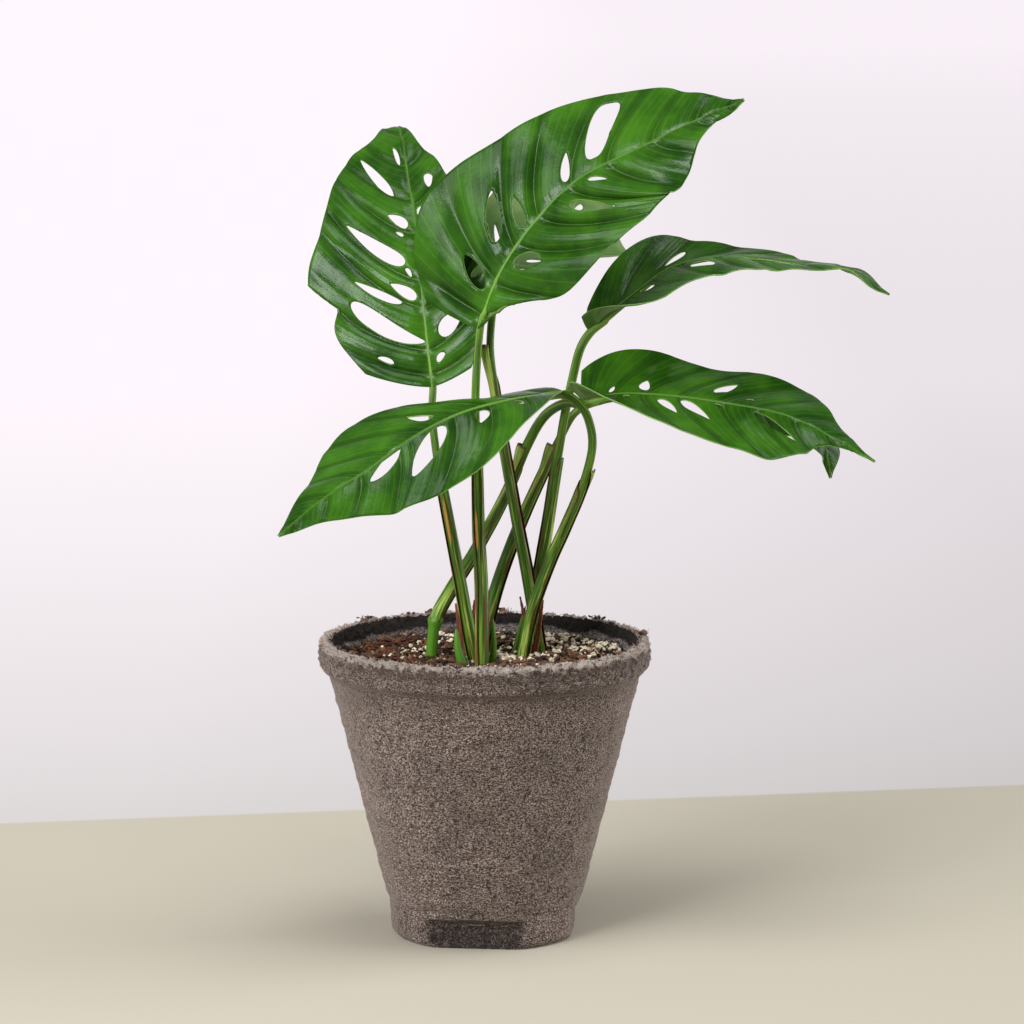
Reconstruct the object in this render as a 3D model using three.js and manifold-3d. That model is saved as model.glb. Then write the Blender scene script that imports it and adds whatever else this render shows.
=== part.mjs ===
// A young swiss cheese vine, Monstera adansonii, in a moulded fibre pot.
// Millimetres, +Z up, the front is -Y, and the origin is the middle of the pot's flat foot.
import * as THREE from "three";
import { mergeVertices } from "three/addons/utils/BufferGeometryUtils.js";
import Module from "manifold-3d";

const wasm = await Module();
wasm.setup();

// The pot: radii and heights of its outside, and the thickness of the fibre.
const POT = {
  height: 104,
  rimRadius: 57.2,
  lipHeight: 10.5,
  underLipRadius: 53.9,
  stepHeight: 14.9,
  stepRadius: 34.5,
  heelRadius: 33.5,
  footRadius: 31,
  wall: 3.2,
  rimWall: 4.2,
  floor: 4,
  softEdge: 1.6,
  segments: 48,
};

// The four flats pressed into the pot's foot, which lean in to the ground.
const FLAT = { count: 4, top: 10.5, footDistance: 26, turn: -4 };

// The potting mix: its surface, and the bits of bark and perlite that stand out of it.
const MIX = { level: 96.5, edgeDrop: 3, gap: 0.5, relief: 0.66, rings: 5, segments: 28 };
const BARK = { count: 20, seed: 5, length: 7, width: 3.2, thickness: 1.6 };
const PERLITE = { count: 20, seed: 11, radius: 1.7 };
const SCATTER = { fromWall: 6, smallest: 0.7, largest: 1.3, tilt: 0.35 };
const GOLDEN_ANGLE = Math.PI * (3 - Math.sqrt(5));

// Blades and stalks.
const BLADE_THICKNESS = 0.7;
const BLADE_ROWS = 18;
const BLADE_COLUMNS = [-1, -0.7, -0.38, -0.07, 0, 0.07, 0.38, 0.7, 1];
const RIB_DEPTH = 1.3;
const HOLE_POINTS = 8;
const HOLE_REACH = 3;
const STALK_SIDES = 7;
const STALK_STEP = 12;
const STALK_END = { along: 0.06, underRib: 0.9 };
const SHEATH = { places: 6, thickness: 0.45 };
const ROOT = { depth: 12, shallow: 6, thinner: 0.4 };

// The holes in the mix: how much wider and deeper they are than what stands in them.
const MIX_HOLE = { side: 1, end: 0.5, sides: 10 };

// How far each side vein leans to the tip, as the cosine of its angle to the midrib, from base to tip.
const LEAN = [0, 0.45, 0.62, 0.68, 0.71, 0.72, 0.74, 0.76, 0.8];

// Every list below runs from the base of a leaf to its tip at even steps.
// rib: places on the midrib. face: the way the upper side looks.
// left and right: lengths of the side veins, seen from above with the tip ahead.
// leanLeft and leanRight: their lean, where it isn't the usual one.
// foldLeft and foldRight: degrees by which each half is raised from flat.
// droop: how much the margins hang, as a share. wave: height and number of the margin's waves.
// A hole is [side, place along the midrib, place across, half width along, half length across, slant], in
// shares of the blade. A notch of the margin is [side, place along the midrib, half width along, depth].
// stalk: places from the mix up to the blade. stalkRadius: at its foot and its top. sheath: the share of the
// stalk that the sheath wraps. node: the ring on the short piece of vine that a stalk stands on.
const LEAVES = {
  leaf_back_left: {
    rib: [[-18, 4, 191], [-20, 7, 209], [-22, 12, 228], [-24, 22, 246], [-27, 36, 262], [-30, 54, 276],
      [-34, 73, 275.5]],
    face: [[-0.25, -1, 0.1], [-0.3, -1, 0.4], [-0.2, -0.7, 0.8], [-0.05, 0.1, 1]],
    left: [20, 48, 48, 44, 37, 27, 16, 8, 0.6],
    right: [16, 30, 35, 27, 20, 14, 5, 3, 0.6],
    leanLeft: [0.3, 0.5, 0.66, 0.7, 0.72, 0.72, 0.72, 0.75, 0.8],
    leanRight: [0.3, 0.6, 0.68, 0.7, 0.72, 0.72, 0.72, 0.75, 0.8],
    foldLeft: [6, 4, 5, -6],
    foldRight: [8, 4, 0, -6],
    droop: [0.05, 0.1, 0.1, 0.1],
    wave: [0.6, 5],
    notches: [[-1, 0.1, 0.03, 8]],
    holes: [[-1, 0.62, 0.55, 0.024, 0.26, 0.1], [-1, 0.73, 0.25, 0.016, 0.11, 0.15],
      [1, 0.59, 0.6, 0.02, 0.12, -0.05], [1, 0.53, 0.17, 0.012, 0.09, 0], [-1, 0.495, 0.23, 0.016, 0.13, 0],
      [-1, 0.45, 0.19, 0.008, 0.06, 0], [-1, 0.36, 0.46, 0.03, 0.29, -0.05],
      [-1, 0.34, 0.12, 0.01, 0.04, 0.1],
      [-1, 0.275, 0.19, 0.018, 0.13, 0], [-1, 0.225, 0.43, 0.015, 0.21, -0.08],
      [-1, 0.145, 0.36, 0.038, 0.31, 0], [1, 0.155, 0.39, 0.026, 0.18, -0.05],
      [1, 0.19, 0.83, 0.01, 0.11, -0.1], [1, 0.08, 0.21, 0.012, 0.08, 0],
      [-1, 0.06, 0.53, 0.008, 0.1, -0.03]],
    stalk: [[-3.6, -7, 96.5], [-5, -6, 104], [-8.5, -6, 124.5], [-12.5, -5, 146], [-16, -2, 165],
      [-18, 2, 181]],
    stalkRadius: [2, 1.25],
    sheath: 0.2,
  },
  leaf_top: {
    rib: [[-2, -6, 212], [5, -9, 231], [17, -12, 249], [32, -15, 264], [53, -19, 275], [73, -23, 285],
      [87, -26, 291]],
    face: [[-0.45, -0.75, 0.5], [-0.35, -0.8, 0.6], [-0.25, -0.8, 0.6], [-0.2, -0.8, 0.6]],
    left: [24, 42.5, 40, 37, 32, 26, 16, 7, 0.6],
    right: [10, 31, 39, 41, 36, 25, 13, 6, 0.6],
    leanLeft: [0, 0.4, 0.64, 0.7, 0.72, 0.72, 0.72, 0.75, 0.8],
    leanRight: [0.9, 0.36, 0.58, 0.68, 0.7, 0.72, 0.72, 0.75, 0.8],
    foldLeft: [14, 10, 8, 6],
    foldRight: [0, 2, 5, 5],
    droop: [0.1, 0.1, 0.08, 0.05],
    wave: [1, 4],
    notches: [[1, 0.84, 0.05, 1.5]],
    holes: [[-1, 0.52, 0.54, 0.036, 0.38, -0.03], [-1, 0.46, 0.28, 0.012, 0.19, -0.03],
      [1, 0.53, 0.21, 0.01, 0.09, 0.12], [1, 0.42, 0.44, 0.02, 0.22, -0.03],
      [-1, 0.3, 0.24, 0.016, 0.18, -0.08], [-1, 0.22, 0.42, 0.014, 0.26, -0.04],
      [-1, 0.12, 0.23, 0.016, 0.17, 0], [1, 0.23, 0.27, 0.026, 0.15, 0]],
    stalk: [[-1, -12, 96.5], [-1, -11, 122], [-2, -9, 143], [-2.5, -7, 167], [-3, -6, 189.5]],
    stalkRadius: [2.1, 1.3],
    sheath: 0.2,
  },
  leaf_behind_top: {
    rib: [[3, 8, 221], [9, 18, 230], [18, 28, 238], [28, 38, 243], [40, 49, 245.5], [54, 60, 246]],
    face: [[-0.5, -0.75, 0.45], [-0.4, -0.85, 0.45], [-0.3, -0.85, 0.5]],
    left: [4, 18, 33, 38, 33, 26, 17, 7, 0.6],
    right: [6, 16, 24, 31, 33, 24, 12, 4, 0.6],
    foldLeft: [5, 5, 5],
    foldRight: [5, -14, -12],
    droop: [0.1, 0.1, 0.1],
    wave: [0.7, 4],
    holes: [[-1, 0.3, 0.3, 0.016, 0.15, 0], [-1, 0.7, 0.42, 0.018, 0.14, 0], [1, 0.2, 0.3, 0.016, 0.18, 0],
      [1, 0.28, 0.25, 0.012, 0.14, 0]],
    stalk: [[19.5, 11, 96.5], [15.5, 9, 122], [11.5, 8, 143.5], [8, 7, 163.5], [4.5, 7, 184.5],
      [2, 8, 203.5]],
    stalkRadius: [2, 1.3],
    sheath: 0.86,
  },
  leaf_upper_right: {
    rib: [[36, 8, 210], [50, 5, 222], [65, 1, 233], [84, -5, 237], [104, -11, 235], [122, -15, 234],
      [137, -17, 225]],
    face: [[-0.5, -0.55, 0.9], [-0.3, -0.38, 1], [-0.05, -0.16, 1], [0.05, -0.12, 1], [0.15, -0.12, 1]],
    left: [18, 30, 25.5, 25, 25, 22, 14, 6, 0.6],
    right: [6, 22, 28, 27, 24, 18, 13, 7, 0.6],
    leanLeft: [0.6, 0.68, 0.7, 0.7, 0.72, 0.72, 0.72, 0.75, 0.8],
    leanRight: [0, 0.55, 0.66, 0.7, 0.72, 0.72, 0.72, 0.75, 0.8],
    foldLeft: [22, 8, -14, -18, -12, -5, 0, 0, 0],
    foldRight: [75, 17, 0, -2, 0, 0, 0, 0, 0],
    droop: [0.05, 0.05, 0.05, 0.05],
    wave: [0.5, 5],
    holes: [[-1, 0.27, 0.42, 0.02, 0.26, -0.1], [1, 0.39, 0.35, 0.026, 0.14, 0],
      [1, 0.22, 0.24, 0.018, 0.09, 0], [1, 0.58, 0.34, 0.034, 0.28, 0.12]],
    stalk: [[15.5, 18, 96.5], [18.5, 15, 121], [21.5, 13, 139.5], [25, 11, 163], [28, 10, 181.5],
      [30.5, 9, 193.5], [33, 8, 203.5]],
    stalkRadius: [2, 1.5],
    sheath: 0.6,
  },
  leaf_lower_right: {
    rib: [[33.5, -3, 186.5], [46, -8, 190], [65, -14, 190], [84, -20, 188], [102, -27, 185], [118, -34, 178],
      [131, -39, 171]],
    face: [[-0.1, -0.27, 1], [0, -0.34, 1], [0.1, -0.36, 1], [0.3, -0.7, 1], [0.4, -0.9, 1]],
    left: [17, 24, 27, 30, 29, 21, 13, 6, 0.6],
    right: [7, 22, 29, 31, 29, 23, 13, 4, 0.6],
    leanLeft: [0.3, 0.58, 0.68, 0.7, 0.72, 0.72, 0.72, 0.75, 0.8],
    leanRight: [-0.4, 0.46, 0.65, 0.7, 0.72, 0.72, 0.72, 0.75, 0.8],
    foldLeft: [50, 24, 8, 11, 2, -3, -4, -2, 0],
    foldRight: [85, 16, -3, -12, -17, -8, -4, 0, 0],
    droop: [0.06, 0.06, 0.06, 0.05],
    wave: [0.7, 5],
    holes: [[-1, 0.13, 0.13, 0.008, 0.07, 0], [-1, 0.22, 0.25, 0.022, 0.13, -0.1],
      [-1, 0.42, 0.39, 0.016, 0.17, -0.03], [-1, 0.48, 0.2, 0.01, 0.04, 0],
      [1, 0.19, 0.17, 0.01, 0.06, -0.1], [1, 0.3, 0.3, 0.018, 0.16, 0.04],
      [1, 0.38, 0.27, 0.02, 0.2, 0.1], [1, 0.63, 0.43, 0.024, 0.33, 0.12]],
    stalk: [[-18.6, 2, 96.5], [-17, 2, 109.5], [-11.5, 5, 120], [-3.5, 11, 132], [7, 19, 150.5],
      [15, 20, 169], [21, 13, 180], [28, 3, 185.5]],
    stalkRadius: [2, 1.3],
    sheath: 0.62,
    node: { at: [-17, 2, 109.5], radius: 2.7 },
  },
  leaf_lower_left: {
    rib: [[27, -12, 191], [9, -25, 190], [-8, -38, 187], [-24, -49, 180], [-38, -59, 171], [-53, -67, 162],
      [-67, -73, 151]],
    face: [[0.1, -0.5, 0.8], [0, -0.6, 0.75], [-0.1, -0.65, 0.7], [-0.2, -0.7, 0.7]],
    left: [2, 19, 33, 32, 28, 22, 15, 8, 0.6],
    right: [8, 20, 28, 33, 30, 23, 15, 8, 0.6],
    leanLeft: [0, 0.45, 0.66, 0.7, 0.72, 0.72, 0.72, 0.75, 0.8],
    leanRight: [0, 0.5, 0.66, 0.7, 0.72, 0.72, 0.72, 0.75, 0.8],
    foldLeft: [50, 25, -5, -8, -8, -8, -5, -5, 0],
    foldRight: [-22, -30, -22, -17, -15, -15, -12, -10, -10],
    droop: [0.1, 0.1, 0.1, 0.05],
    wave: [0.9, 5],
    holes: [[1, 0.38, 0.31, 0.024, 0.18, -0.08], [-1, 0.455, 0.35, 0.047, 0.29, 0.12],
      [-1, 0.615, 0.21, 0.044, 0.18, 0.18], [-1, 0.27, 0.17, 0.024, 0.1, 0.04],
      [-1, 0.15, 0.19, 0.012, 0.08, -0.08], [1, 0.07, 0.4, 0.01, 0.09, -0.06]],
    stalk: [[13.5, 3, 96.5], [16.5, 1, 112.5], [22.5, -1, 130], [28, -3, 143], [33.5, -6, 157],
      [37, -9, 171.5], [35.5, -11, 182], [31.5, -12, 188]],
    stalkRadius: [1.9, 1.45],
    sheath: 0.52,
  },
  leaf_under_right: {
    rib: [[76, 11, 186.5], [88, 7, 185], [99, 2, 182], [109, -1, 178], [117, -3.5, 171], [120.5, -6, 161]],
    face: [[-0.1, -0.3, 0.95], [0, -0.3, 0.95], [0.6, -0.4, 0.9]],
    left: [4, 10, 13, 14, 13, 12, 9, 4, 0.6],
    right: [4, 10, 13, 14, 13, 12, 9, 4, 0.6],
    foldLeft: [0, 0, 0],
    foldRight: [0, 0, 0],
    droop: [0.1, 0.1, 0.1],
    wave: [0.6, 4],
    holes: [[-1, 0.45, 0.42, 0.025, 0.17, 0]],
    stalk: [[-1, 20, 96.5], [4, 22, 117], [12, 21, 139.5], [21, 19, 160], [26.5, 20, 171.5], [32, 20, 180.5],
      [41, 18.5, 184.5], [52, 16, 186.5], [64, 14.5, 187]],
    stalkRadius: [2.2, 1.1],
    sheath: 0.56,
  },
};

// Young shoots: places from the mix to the tip, and the radius at the foot.
const SHOOTS = {
  young_shoot_left: { places: [[-7.5, -13, 96.5], [-9, -13, 102], [-10, -13, 108]], radius: 2.2 },
  young_shoot_right: { places: [[2.8, -7, 96.5], [3.2, -7.5, 104], [2.8, -8, 111]], radius: 1.5 },
  young_shoot_back: { places: [[8, 9, 96.5], [9.5, 9, 105], [12.5, 9, 116]], radius: 1.3 },
};

// Dried sheaths: thin brown strips that grow from one foot.
const DRIED_SHEATHS = {
  dried_sheath_left: {
    foot: [-6.5, 1, 96.5],
    tips: [[-9.5, -0.5, 118], [-4.5, 1, 117], [-11.5, 0.5, 108]],
  },
  dried_sheath_right: {
    foot: [21.5, 4, 96.5],
    tips: [[22.5, 4.5, 119], [25, 6, 114]],
  },
};
const STRIP = { radius: 1.6, flatness: 0.5, spacing: 0.9, taper: 0.75, bend: 0.45, sides: 6 };
const SHOOT = { taper: 0.97, sides: 7 };

const MATERIALS = {
  fibre: new THREE.MeshStandardMaterial({ color: 0x8d7b6d, roughness: 1, metalness: 0 }),
  mix: new THREE.MeshStandardMaterial({ color: 0x422918, roughness: 1, metalness: 0 }),
  leaf: new THREE.MeshStandardMaterial({ color: 0x37661d, roughness: 0.45, metalness: 0 }),
  shoot: new THREE.MeshStandardMaterial({ color: 0x4f9a2b, roughness: 0.5, metalness: 0 }),
  driedSheath: new THREE.MeshStandardMaterial({ color: 0x6e4a33, roughness: 0.8, metalness: 0 }),
};

// A seeded draw between 0 and 1, the same in every run.
function draws(seed) {
  let state = seed;
  return () => {
    state = (state * 16807) % 2147483647;
    return state / 2147483647;
  };
}

const place = (list) => new THREE.Vector3(...list);
const smooth = (places) => new THREE.CatmullRomCurve3(places, false, "catmullrom", 0.5);
const alongPlaces = (lists, t) => smooth(lists.map(place)).getPoint(t);
const alongNumbers = (numbers, t) =>
  smooth(numbers.map((n) => new THREE.Vector3(n, 0, 0))).getPoint(t).x;

// A geometry as a solid, with its shared corners merged.
function solidOf(geometry) {
  const bare = new THREE.BufferGeometry();
  bare.setAttribute("position", geometry.getAttribute("position"));
  if (geometry.index) bare.setIndex(geometry.index);
  const merged = mergeVertices(bare, 1e-4);
  const shape = new wasm.Mesh({
    numProp: 3,
    vertProperties: new Float32Array(merged.attributes.position.array),
    triVerts: new Uint32Array(merged.index.array),
  });
  return new wasm.Manifold(shape);
}

function meshOf(name, solid, material) {
  const shape = solid.getMesh();
  const geometry = new THREE.BufferGeometry();
  geometry.setAttribute("position", new THREE.BufferAttribute(shape.vertProperties, 3));
  geometry.setIndex(new THREE.BufferAttribute(shape.triVerts, 1));
  geometry.computeVertexNormals();
  const mesh = new THREE.Mesh(geometry, material);
  mesh.name = name;
  return mesh;
}

// A closed tapered limb: a cylinder bent along a curve, with flat or pointed ends.
function limb(places, radiusAt, { sides = STALK_SIDES, flatness = 1 } = {}) {
  const curve = smooth(places);
  const steps = Math.max(3, Math.ceil(curve.getLength() / STALK_STEP));
  const frames = curve.computeFrenetFrames(steps, false);
  const geometry = new THREE.CylinderGeometry(1, 1, 1, sides, steps);
  const corners = geometry.getAttribute("position");
  for (let i = 0; i < corners.count; i++) {
    const ring = Math.round((corners.getY(i) + 0.5) * steps);
    const radius = radiusAt(ring / steps);
    const corner = curve.getPointAt(ring / steps);
    corner.addScaledVector(frames.normals[ring], corners.getX(i) * radius);
    corner.addScaledVector(frames.binormals[ring], -corners.getZ(i) * radius * flatness);
    corners.setXYZ(i, corner.x, corner.y, corner.z);
  }
  return solidOf(geometry);
}

// The midrib's direction, the way the upper side looks, and the way to the right, at t along the midrib.
function ribFrame(leaf, t) {
  const step = 0.001;
  const ahead = alongPlaces(leaf.rib, Math.min(t + step, 1))
    .sub(alongPlaces(leaf.rib, Math.max(t - step, 0)))
    .normalize();
  const up = alongPlaces(leaf.face, t);
  up.addScaledVector(ahead, -up.dot(ahead)).normalize();
  const right = new THREE.Vector3().crossVectors(ahead, up);
  return { ahead, up, right };
}

// How much shorter a notch in the margin makes the side vein that starts at t.
function notchDepth(leaf, t, side) {
  let depth = 0;
  for (const [notchSide, along, halfWidth, deepest] of leaf.notches ?? [])
    if (notchSide === side) depth += deepest * Math.exp(-(((t - along) / halfWidth) ** 2));
  return depth;
}

// A place in the middle of the blade's thickness: t runs from base to tip along the midrib, and v from the
// left margin at -1 over the midrib at 0 to the right margin at 1, along the side vein that starts at t.
function bladePoint(leaf, t, v) {
  const { ahead, up, right } = ribFrame(leaf, t);
  const onRight = v > 0;
  const sideVein = Math.max(alongNumbers(onRight ? leaf.right : leaf.left, t), 0.3);
  const length = Math.abs(v) * (sideVein - notchDepth(leaf, t, onRight ? 1 : -1) * Math.abs(v) ** 3);
  const lean = alongNumbers((onRight ? leaf.leanRight : leaf.leanLeft) ?? LEAN, t);
  const fold = THREE.MathUtils.degToRad(alongNumbers(onRight ? leaf.foldRight : leaf.foldLeft, t));
  const [waveHeight, waves] = leaf.wave;
  const out = length * Math.sqrt(Math.max(1 - lean * lean, 0.05));
  const wave = waveHeight * v * v * Math.sin(2 * Math.PI * (waves * t + (onRight ? 0.25 : 0)));
  const rise = out * Math.sin(fold) - length * Math.abs(v) * alongNumbers(leaf.droop, t);
  return alongPlaces(leaf.rib, t)
    .addScaledVector(right, Math.sign(v) * out * Math.cos(fold))
    .addScaledVector(up, rise + wave * Math.min(1, 4 * (1 - t)))
    .addScaledVector(ahead, length * lean * Math.sqrt(Math.abs(v)));
}

function bladeNormal(leaf, t, v) {
  const step = 0.01;
  const ahead = bladePoint(leaf, Math.min(t + step, 1), v).sub(bladePoint(leaf, Math.max(t - step, 0), v));
  const across = bladePoint(leaf, t, Math.min(v + step, 1)).sub(bladePoint(leaf, t, Math.max(v - step, -1)));
  return across.cross(ahead).normalize();
}

// The blade without its holes: a curved sheet of even thickness, with the midrib as a keel underneath.
function bladeSheet(leaf) {
  const columns = BLADE_COLUMNS.length;
  const layer = (BLADE_ROWS + 1) * columns;
  const corners = [];
  for (const side of [1, -1])
    for (let i = 0; i <= BLADE_ROWS; i++)
      for (const v of BLADE_COLUMNS) {
        const t = i / BLADE_ROWS;
        const keel = side < 0 && v === 0 ? RIB_DEPTH * (1 - t) : 0;
        const offset = side * (BLADE_THICKNESS / 2 + keel);
        corners.push(...bladePoint(leaf, t, v).addScaledVector(bladeNormal(leaf, t, v), offset));
      }
  const faces = [];
  const at = (i, j) => i * columns + j;
  for (let i = 0; i < BLADE_ROWS; i++)
    for (let j = 0; j + 1 < columns; j++) {
      const [a, b, c, d] = [at(i, j), at(i, j + 1), at(i + 1, j + 1), at(i + 1, j)];
      faces.push(a, b, c, a, c, d);
      faces.push(layer + a, layer + c, layer + b, layer + a, layer + d, layer + c);
    }
  const edge = (from, to) => faces.push(from, layer + from, layer + to, from, layer + to, to);
  for (let i = 0; i < BLADE_ROWS; i++) {
    edge(at(i + 1, 0), at(i, 0));
    edge(at(i, columns - 1), at(i + 1, columns - 1));
  }
  for (let j = 0; j + 1 < columns; j++) {
    edge(at(0, j), at(0, j + 1));
    edge(at(BLADE_ROWS, j + 1), at(BLADE_ROWS, j));
  }
  const geometry = new THREE.BufferGeometry();
  geometry.setAttribute("position", new THREE.Float32BufferAttribute(corners, 3));
  geometry.setIndex(faces);
  return solidOf(geometry);
}

// What is taken out of the blade for one hole: a prism through it, long between two side veins, whose outer
// end is the narrow one.
function holePrism(leaf, [side, along, across, halfWidth, halfLength, slant]) {
  const corners = [];
  const faces = [];
  for (const reach of [HOLE_REACH, -HOLE_REACH])
    for (let k = 0; k < HOLE_POINTS; k++) {
      const turn = (2 * Math.PI * k) / HOLE_POINTS;
      const outwards = halfLength * Math.cos(turn);
      const t = along + halfWidth * Math.sin(turn) * (1 - 0.35 * Math.cos(turn)) + slant * outwards;
      const v = side * (across + outwards);
      corners.push(...bladePoint(leaf, t, v).addScaledVector(bladeNormal(leaf, t, v), reach));
    }
  for (let k = 0; k < HOLE_POINTS; k++) {
    const next = (k + 1) % HOLE_POINTS;
    if (k > 0 && next > 0) faces.push(0, k, next, HOLE_POINTS, HOLE_POINTS + next, HOLE_POINTS + k);
    faces.push(k, HOLE_POINTS + k, HOLE_POINTS + next, k, HOLE_POINTS + next, next);
  }
  const geometry = new THREE.BufferGeometry();
  geometry.setAttribute("position", new THREE.Float32BufferAttribute(corners, 3));
  geometry.setIndex(side > 0 ? faces : faces.toReversed());
  return solidOf(geometry);
}

// The stalk's places, from below the mix to just under the midrib.
function stalkPlaces(leaf) {
  const [x, y, z] = leaf.stalk[0];
  const under = (t) => alongPlaces(leaf.rib, t).addScaledVector(ribFrame(leaf, t).up, -STALK_END.underRib);
  const root = new THREE.Vector3(x, y, z - ROOT.depth);
  return [root, ...leaf.stalk.map(place), under(0), under(STALK_END.along)];
}

// A leaf as it grew: the blade, its stalk, the sheath round the stalk's lower part, and the vine's node.
function leafSolid(leaf) {
  let solid = bladeSheet(leaf);
  for (const hole of leaf.holes) solid = solid.subtract(holePrism(leaf, hole));
  const places = stalkPlaces(leaf);
  const [foot, top] = leaf.stalkRadius;
  solid = solid.add(limb(places, (u) => THREE.MathUtils.lerp(foot - ROOT.thinner, top, u)));
  solid = solid.add(sheathSolid(leaf, places));
  if (leaf.node) {
    const ring = new THREE.SphereGeometry(leaf.node.radius, 10, 6);
    ring.translate(...leaf.node.at);
    solid = solid.add(solidOf(ring));
  }
  return solid;
}

function sheathSolid(leaf, places) {
  const curve = smooth(places);
  const part = [];
  for (let i = 0; i <= SHEATH.places; i++) part.push(curve.getPointAt((leaf.sheath * i) / SHEATH.places));
  const [foot, top] = leaf.stalkRadius;
  return limb(part, (u) => THREE.MathUtils.lerp(foot, top + SHEATH.thickness, u * leaf.sheath));
}

function shootSolid({ places, radius }) {
  const [x, y, z] = places[0];
  const root = new THREE.Vector3(x, y, z - ROOT.shallow);
  const radiusAt = (u) => radius * Math.sqrt(1 - u * SHOOT.taper);
  return limb([root, ...places.map(place)], radiusAt, { sides: SHOOT.sides });
}

// Strips that stand side by side in the mix, joined at their feet, and end in ragged tips.
function driedSheathSolid({ foot, tips }) {
  const [x, y, z] = foot;
  let solid = null;
  tips.forEach((tip, i) => {
    const aside = (i - (tips.length - 1) / 2) * STRIP.spacing;
    const surface = new THREE.Vector3(x + aside, y + aside / 3, z);
    const root = surface.clone().setZ(z - ROOT.shallow);
    const middle = surface.clone().lerp(place(tip), STRIP.bend);
    const radiusAt = (u) => STRIP.radius * (1 - STRIP.taper * u * u);
    const strip = limb([root, surface, middle, place(tip)], radiusAt, STRIP);
    solid = solid ? solid.add(strip) : strip;
  });
  return solid;
}

// The pot's profile, from the middle of its foot up the outside and down the inside to its floor's middle.
function potSolid() {
  const lipFoot = POT.height - POT.lipHeight;
  const rimInner = POT.rimRadius - POT.rimWall;
  const soft = POT.softEdge;
  const profile = [
    [0, 0],
    [POT.footRadius, 0],
    [POT.heelRadius - soft / 2, soft],
    [POT.heelRadius, POT.stepHeight - soft],
    [POT.stepRadius, POT.stepHeight],
    [POT.underLipRadius, lipFoot - soft / 2],
    [POT.rimRadius - soft / 2, lipFoot],
    [POT.rimRadius, lipFoot + soft],
    [POT.rimRadius, POT.height - soft],
    [POT.rimRadius - soft / 2, POT.height],
    [rimInner + soft / 2, POT.height],
    [rimInner, POT.height - soft],
    [mixRadius(lipFoot), lipFoot],
    [mixRadius(POT.floor), POT.floor],
    [0, POT.floor],
  ];
  const round = new THREE.LatheGeometry(
    profile.map(([radius, height]) => new THREE.Vector2(radius, height)),
    POT.segments,
  );
  round.rotateX(Math.PI / 2);
  let solid = solidOf(round);
  for (let i = 0; i < FLAT.count; i++) solid = solid.subtract(footCut(FLAT.turn + (360 / FLAT.count) * i));
  return solid;
}

// The inside of the pot's wall at a height.
function mixRadius(height) {
  const share = (height - POT.stepHeight) / (POT.height - POT.lipHeight - POT.stepHeight);
  return THREE.MathUtils.lerp(POT.stepRadius, POT.underLipRadius, share) - POT.wall;
}

// A block that leaves one leaning flat on the foot.
function footCut(degrees) {
  const run = POT.heelRadius - FLAT.footDistance;
  const size = 2 * POT.heelRadius;
  const block = new THREE.BoxGeometry(size, size, size);
  block.translate(0, -size / 2, 0);
  block.rotateX(Math.atan2(run, FLAT.top));
  block.translate(0, -FLAT.footDistance, 0);
  block.rotateZ(THREE.MathUtils.degToRad(degrees));
  return solidOf(block);
}

// The surface of the mix at a place, as a gentle relief.
function mixHeight(x, y) {
  const swell = Math.sin(x * 0.21 + 1.3) * Math.cos(y * 0.19 - 0.4) + 0.6 * Math.sin(x * 0.47 + y * 0.39);
  return MIX.level + MIX.relief * swell;
}

// The mix as one body: a crumb of bark that a hole cuts off is left out.
function mixSolid() {
  const outer = mixRadius(MIX.level - MIX.edgeDrop) - MIX.gap;
  const floor = POT.floor + MIX.gap;
  const profile = [new THREE.Vector2(0, floor), new THREE.Vector2(mixRadius(floor) - MIX.gap, floor)];
  for (let ring = MIX.rings; ring >= 0; ring--) {
    const drop = ring === MIX.rings ? MIX.edgeDrop : 0;
    profile.push(new THREE.Vector2((outer * ring) / MIX.rings, MIX.level - drop));
  }
  const body = new THREE.LatheGeometry(profile, MIX.segments);
  body.rotateX(Math.PI / 2);
  const corners = body.getAttribute("position");
  for (let i = 0; i < corners.count; i++)
    if (corners.getZ(i) > MIX.level - 1) corners.setZ(i, mixHeight(corners.getX(i), corners.getY(i)));
  let solid = solidOf(body);
  for (const bit of [...barkBits(), ...perliteGrains()]) solid = solid.add(bit);
  for (const hole of mixHoles()) solid = solid.subtract(hole);
  const bodies = solid.decompose();
  return bodies.reduce((biggest, body) => (body.volume() > biggest.volume() ? body : biggest));
}

// Bits spread over the mix by the golden angle, so none crowds another.
function scatter(count, seed, shapeOf) {
  const draw = draws(seed);
  const bits = [];
  for (let i = 0; i < count; i++) {
    const angle = i * GOLDEN_ANGLE + seed;
    const radius = (mixRadius(MIX.level) - SCATTER.fromWall) * Math.sqrt((i + 0.5) / count);
    const [x, y] = [radius * Math.cos(angle), radius * Math.sin(angle)];
    const bit = shapeOf(THREE.MathUtils.lerp(SCATTER.smallest, SCATTER.largest, draw()));
    bit.rotateX(THREE.MathUtils.lerp(-SCATTER.tilt, SCATTER.tilt, draw()));
    bit.rotateY(THREE.MathUtils.lerp(-SCATTER.tilt, SCATTER.tilt, draw()));
    bit.rotateZ(draw() * Math.PI);
    bit.translate(x, y, mixHeight(x, y));
    bits.push(solidOf(bit));
  }
  return bits;
}

function barkBits() {
  const chip = (scale) => new THREE.BoxGeometry(BARK.length * scale, BARK.width * scale, BARK.thickness);
  return scatter(BARK.count, BARK.seed, chip);
}

function perliteGrains() {
  const grain = (scale) => new THREE.IcosahedronGeometry(PERLITE.radius * scale);
  return scatter(PERLITE.count, PERLITE.seed, grain);
}

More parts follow.
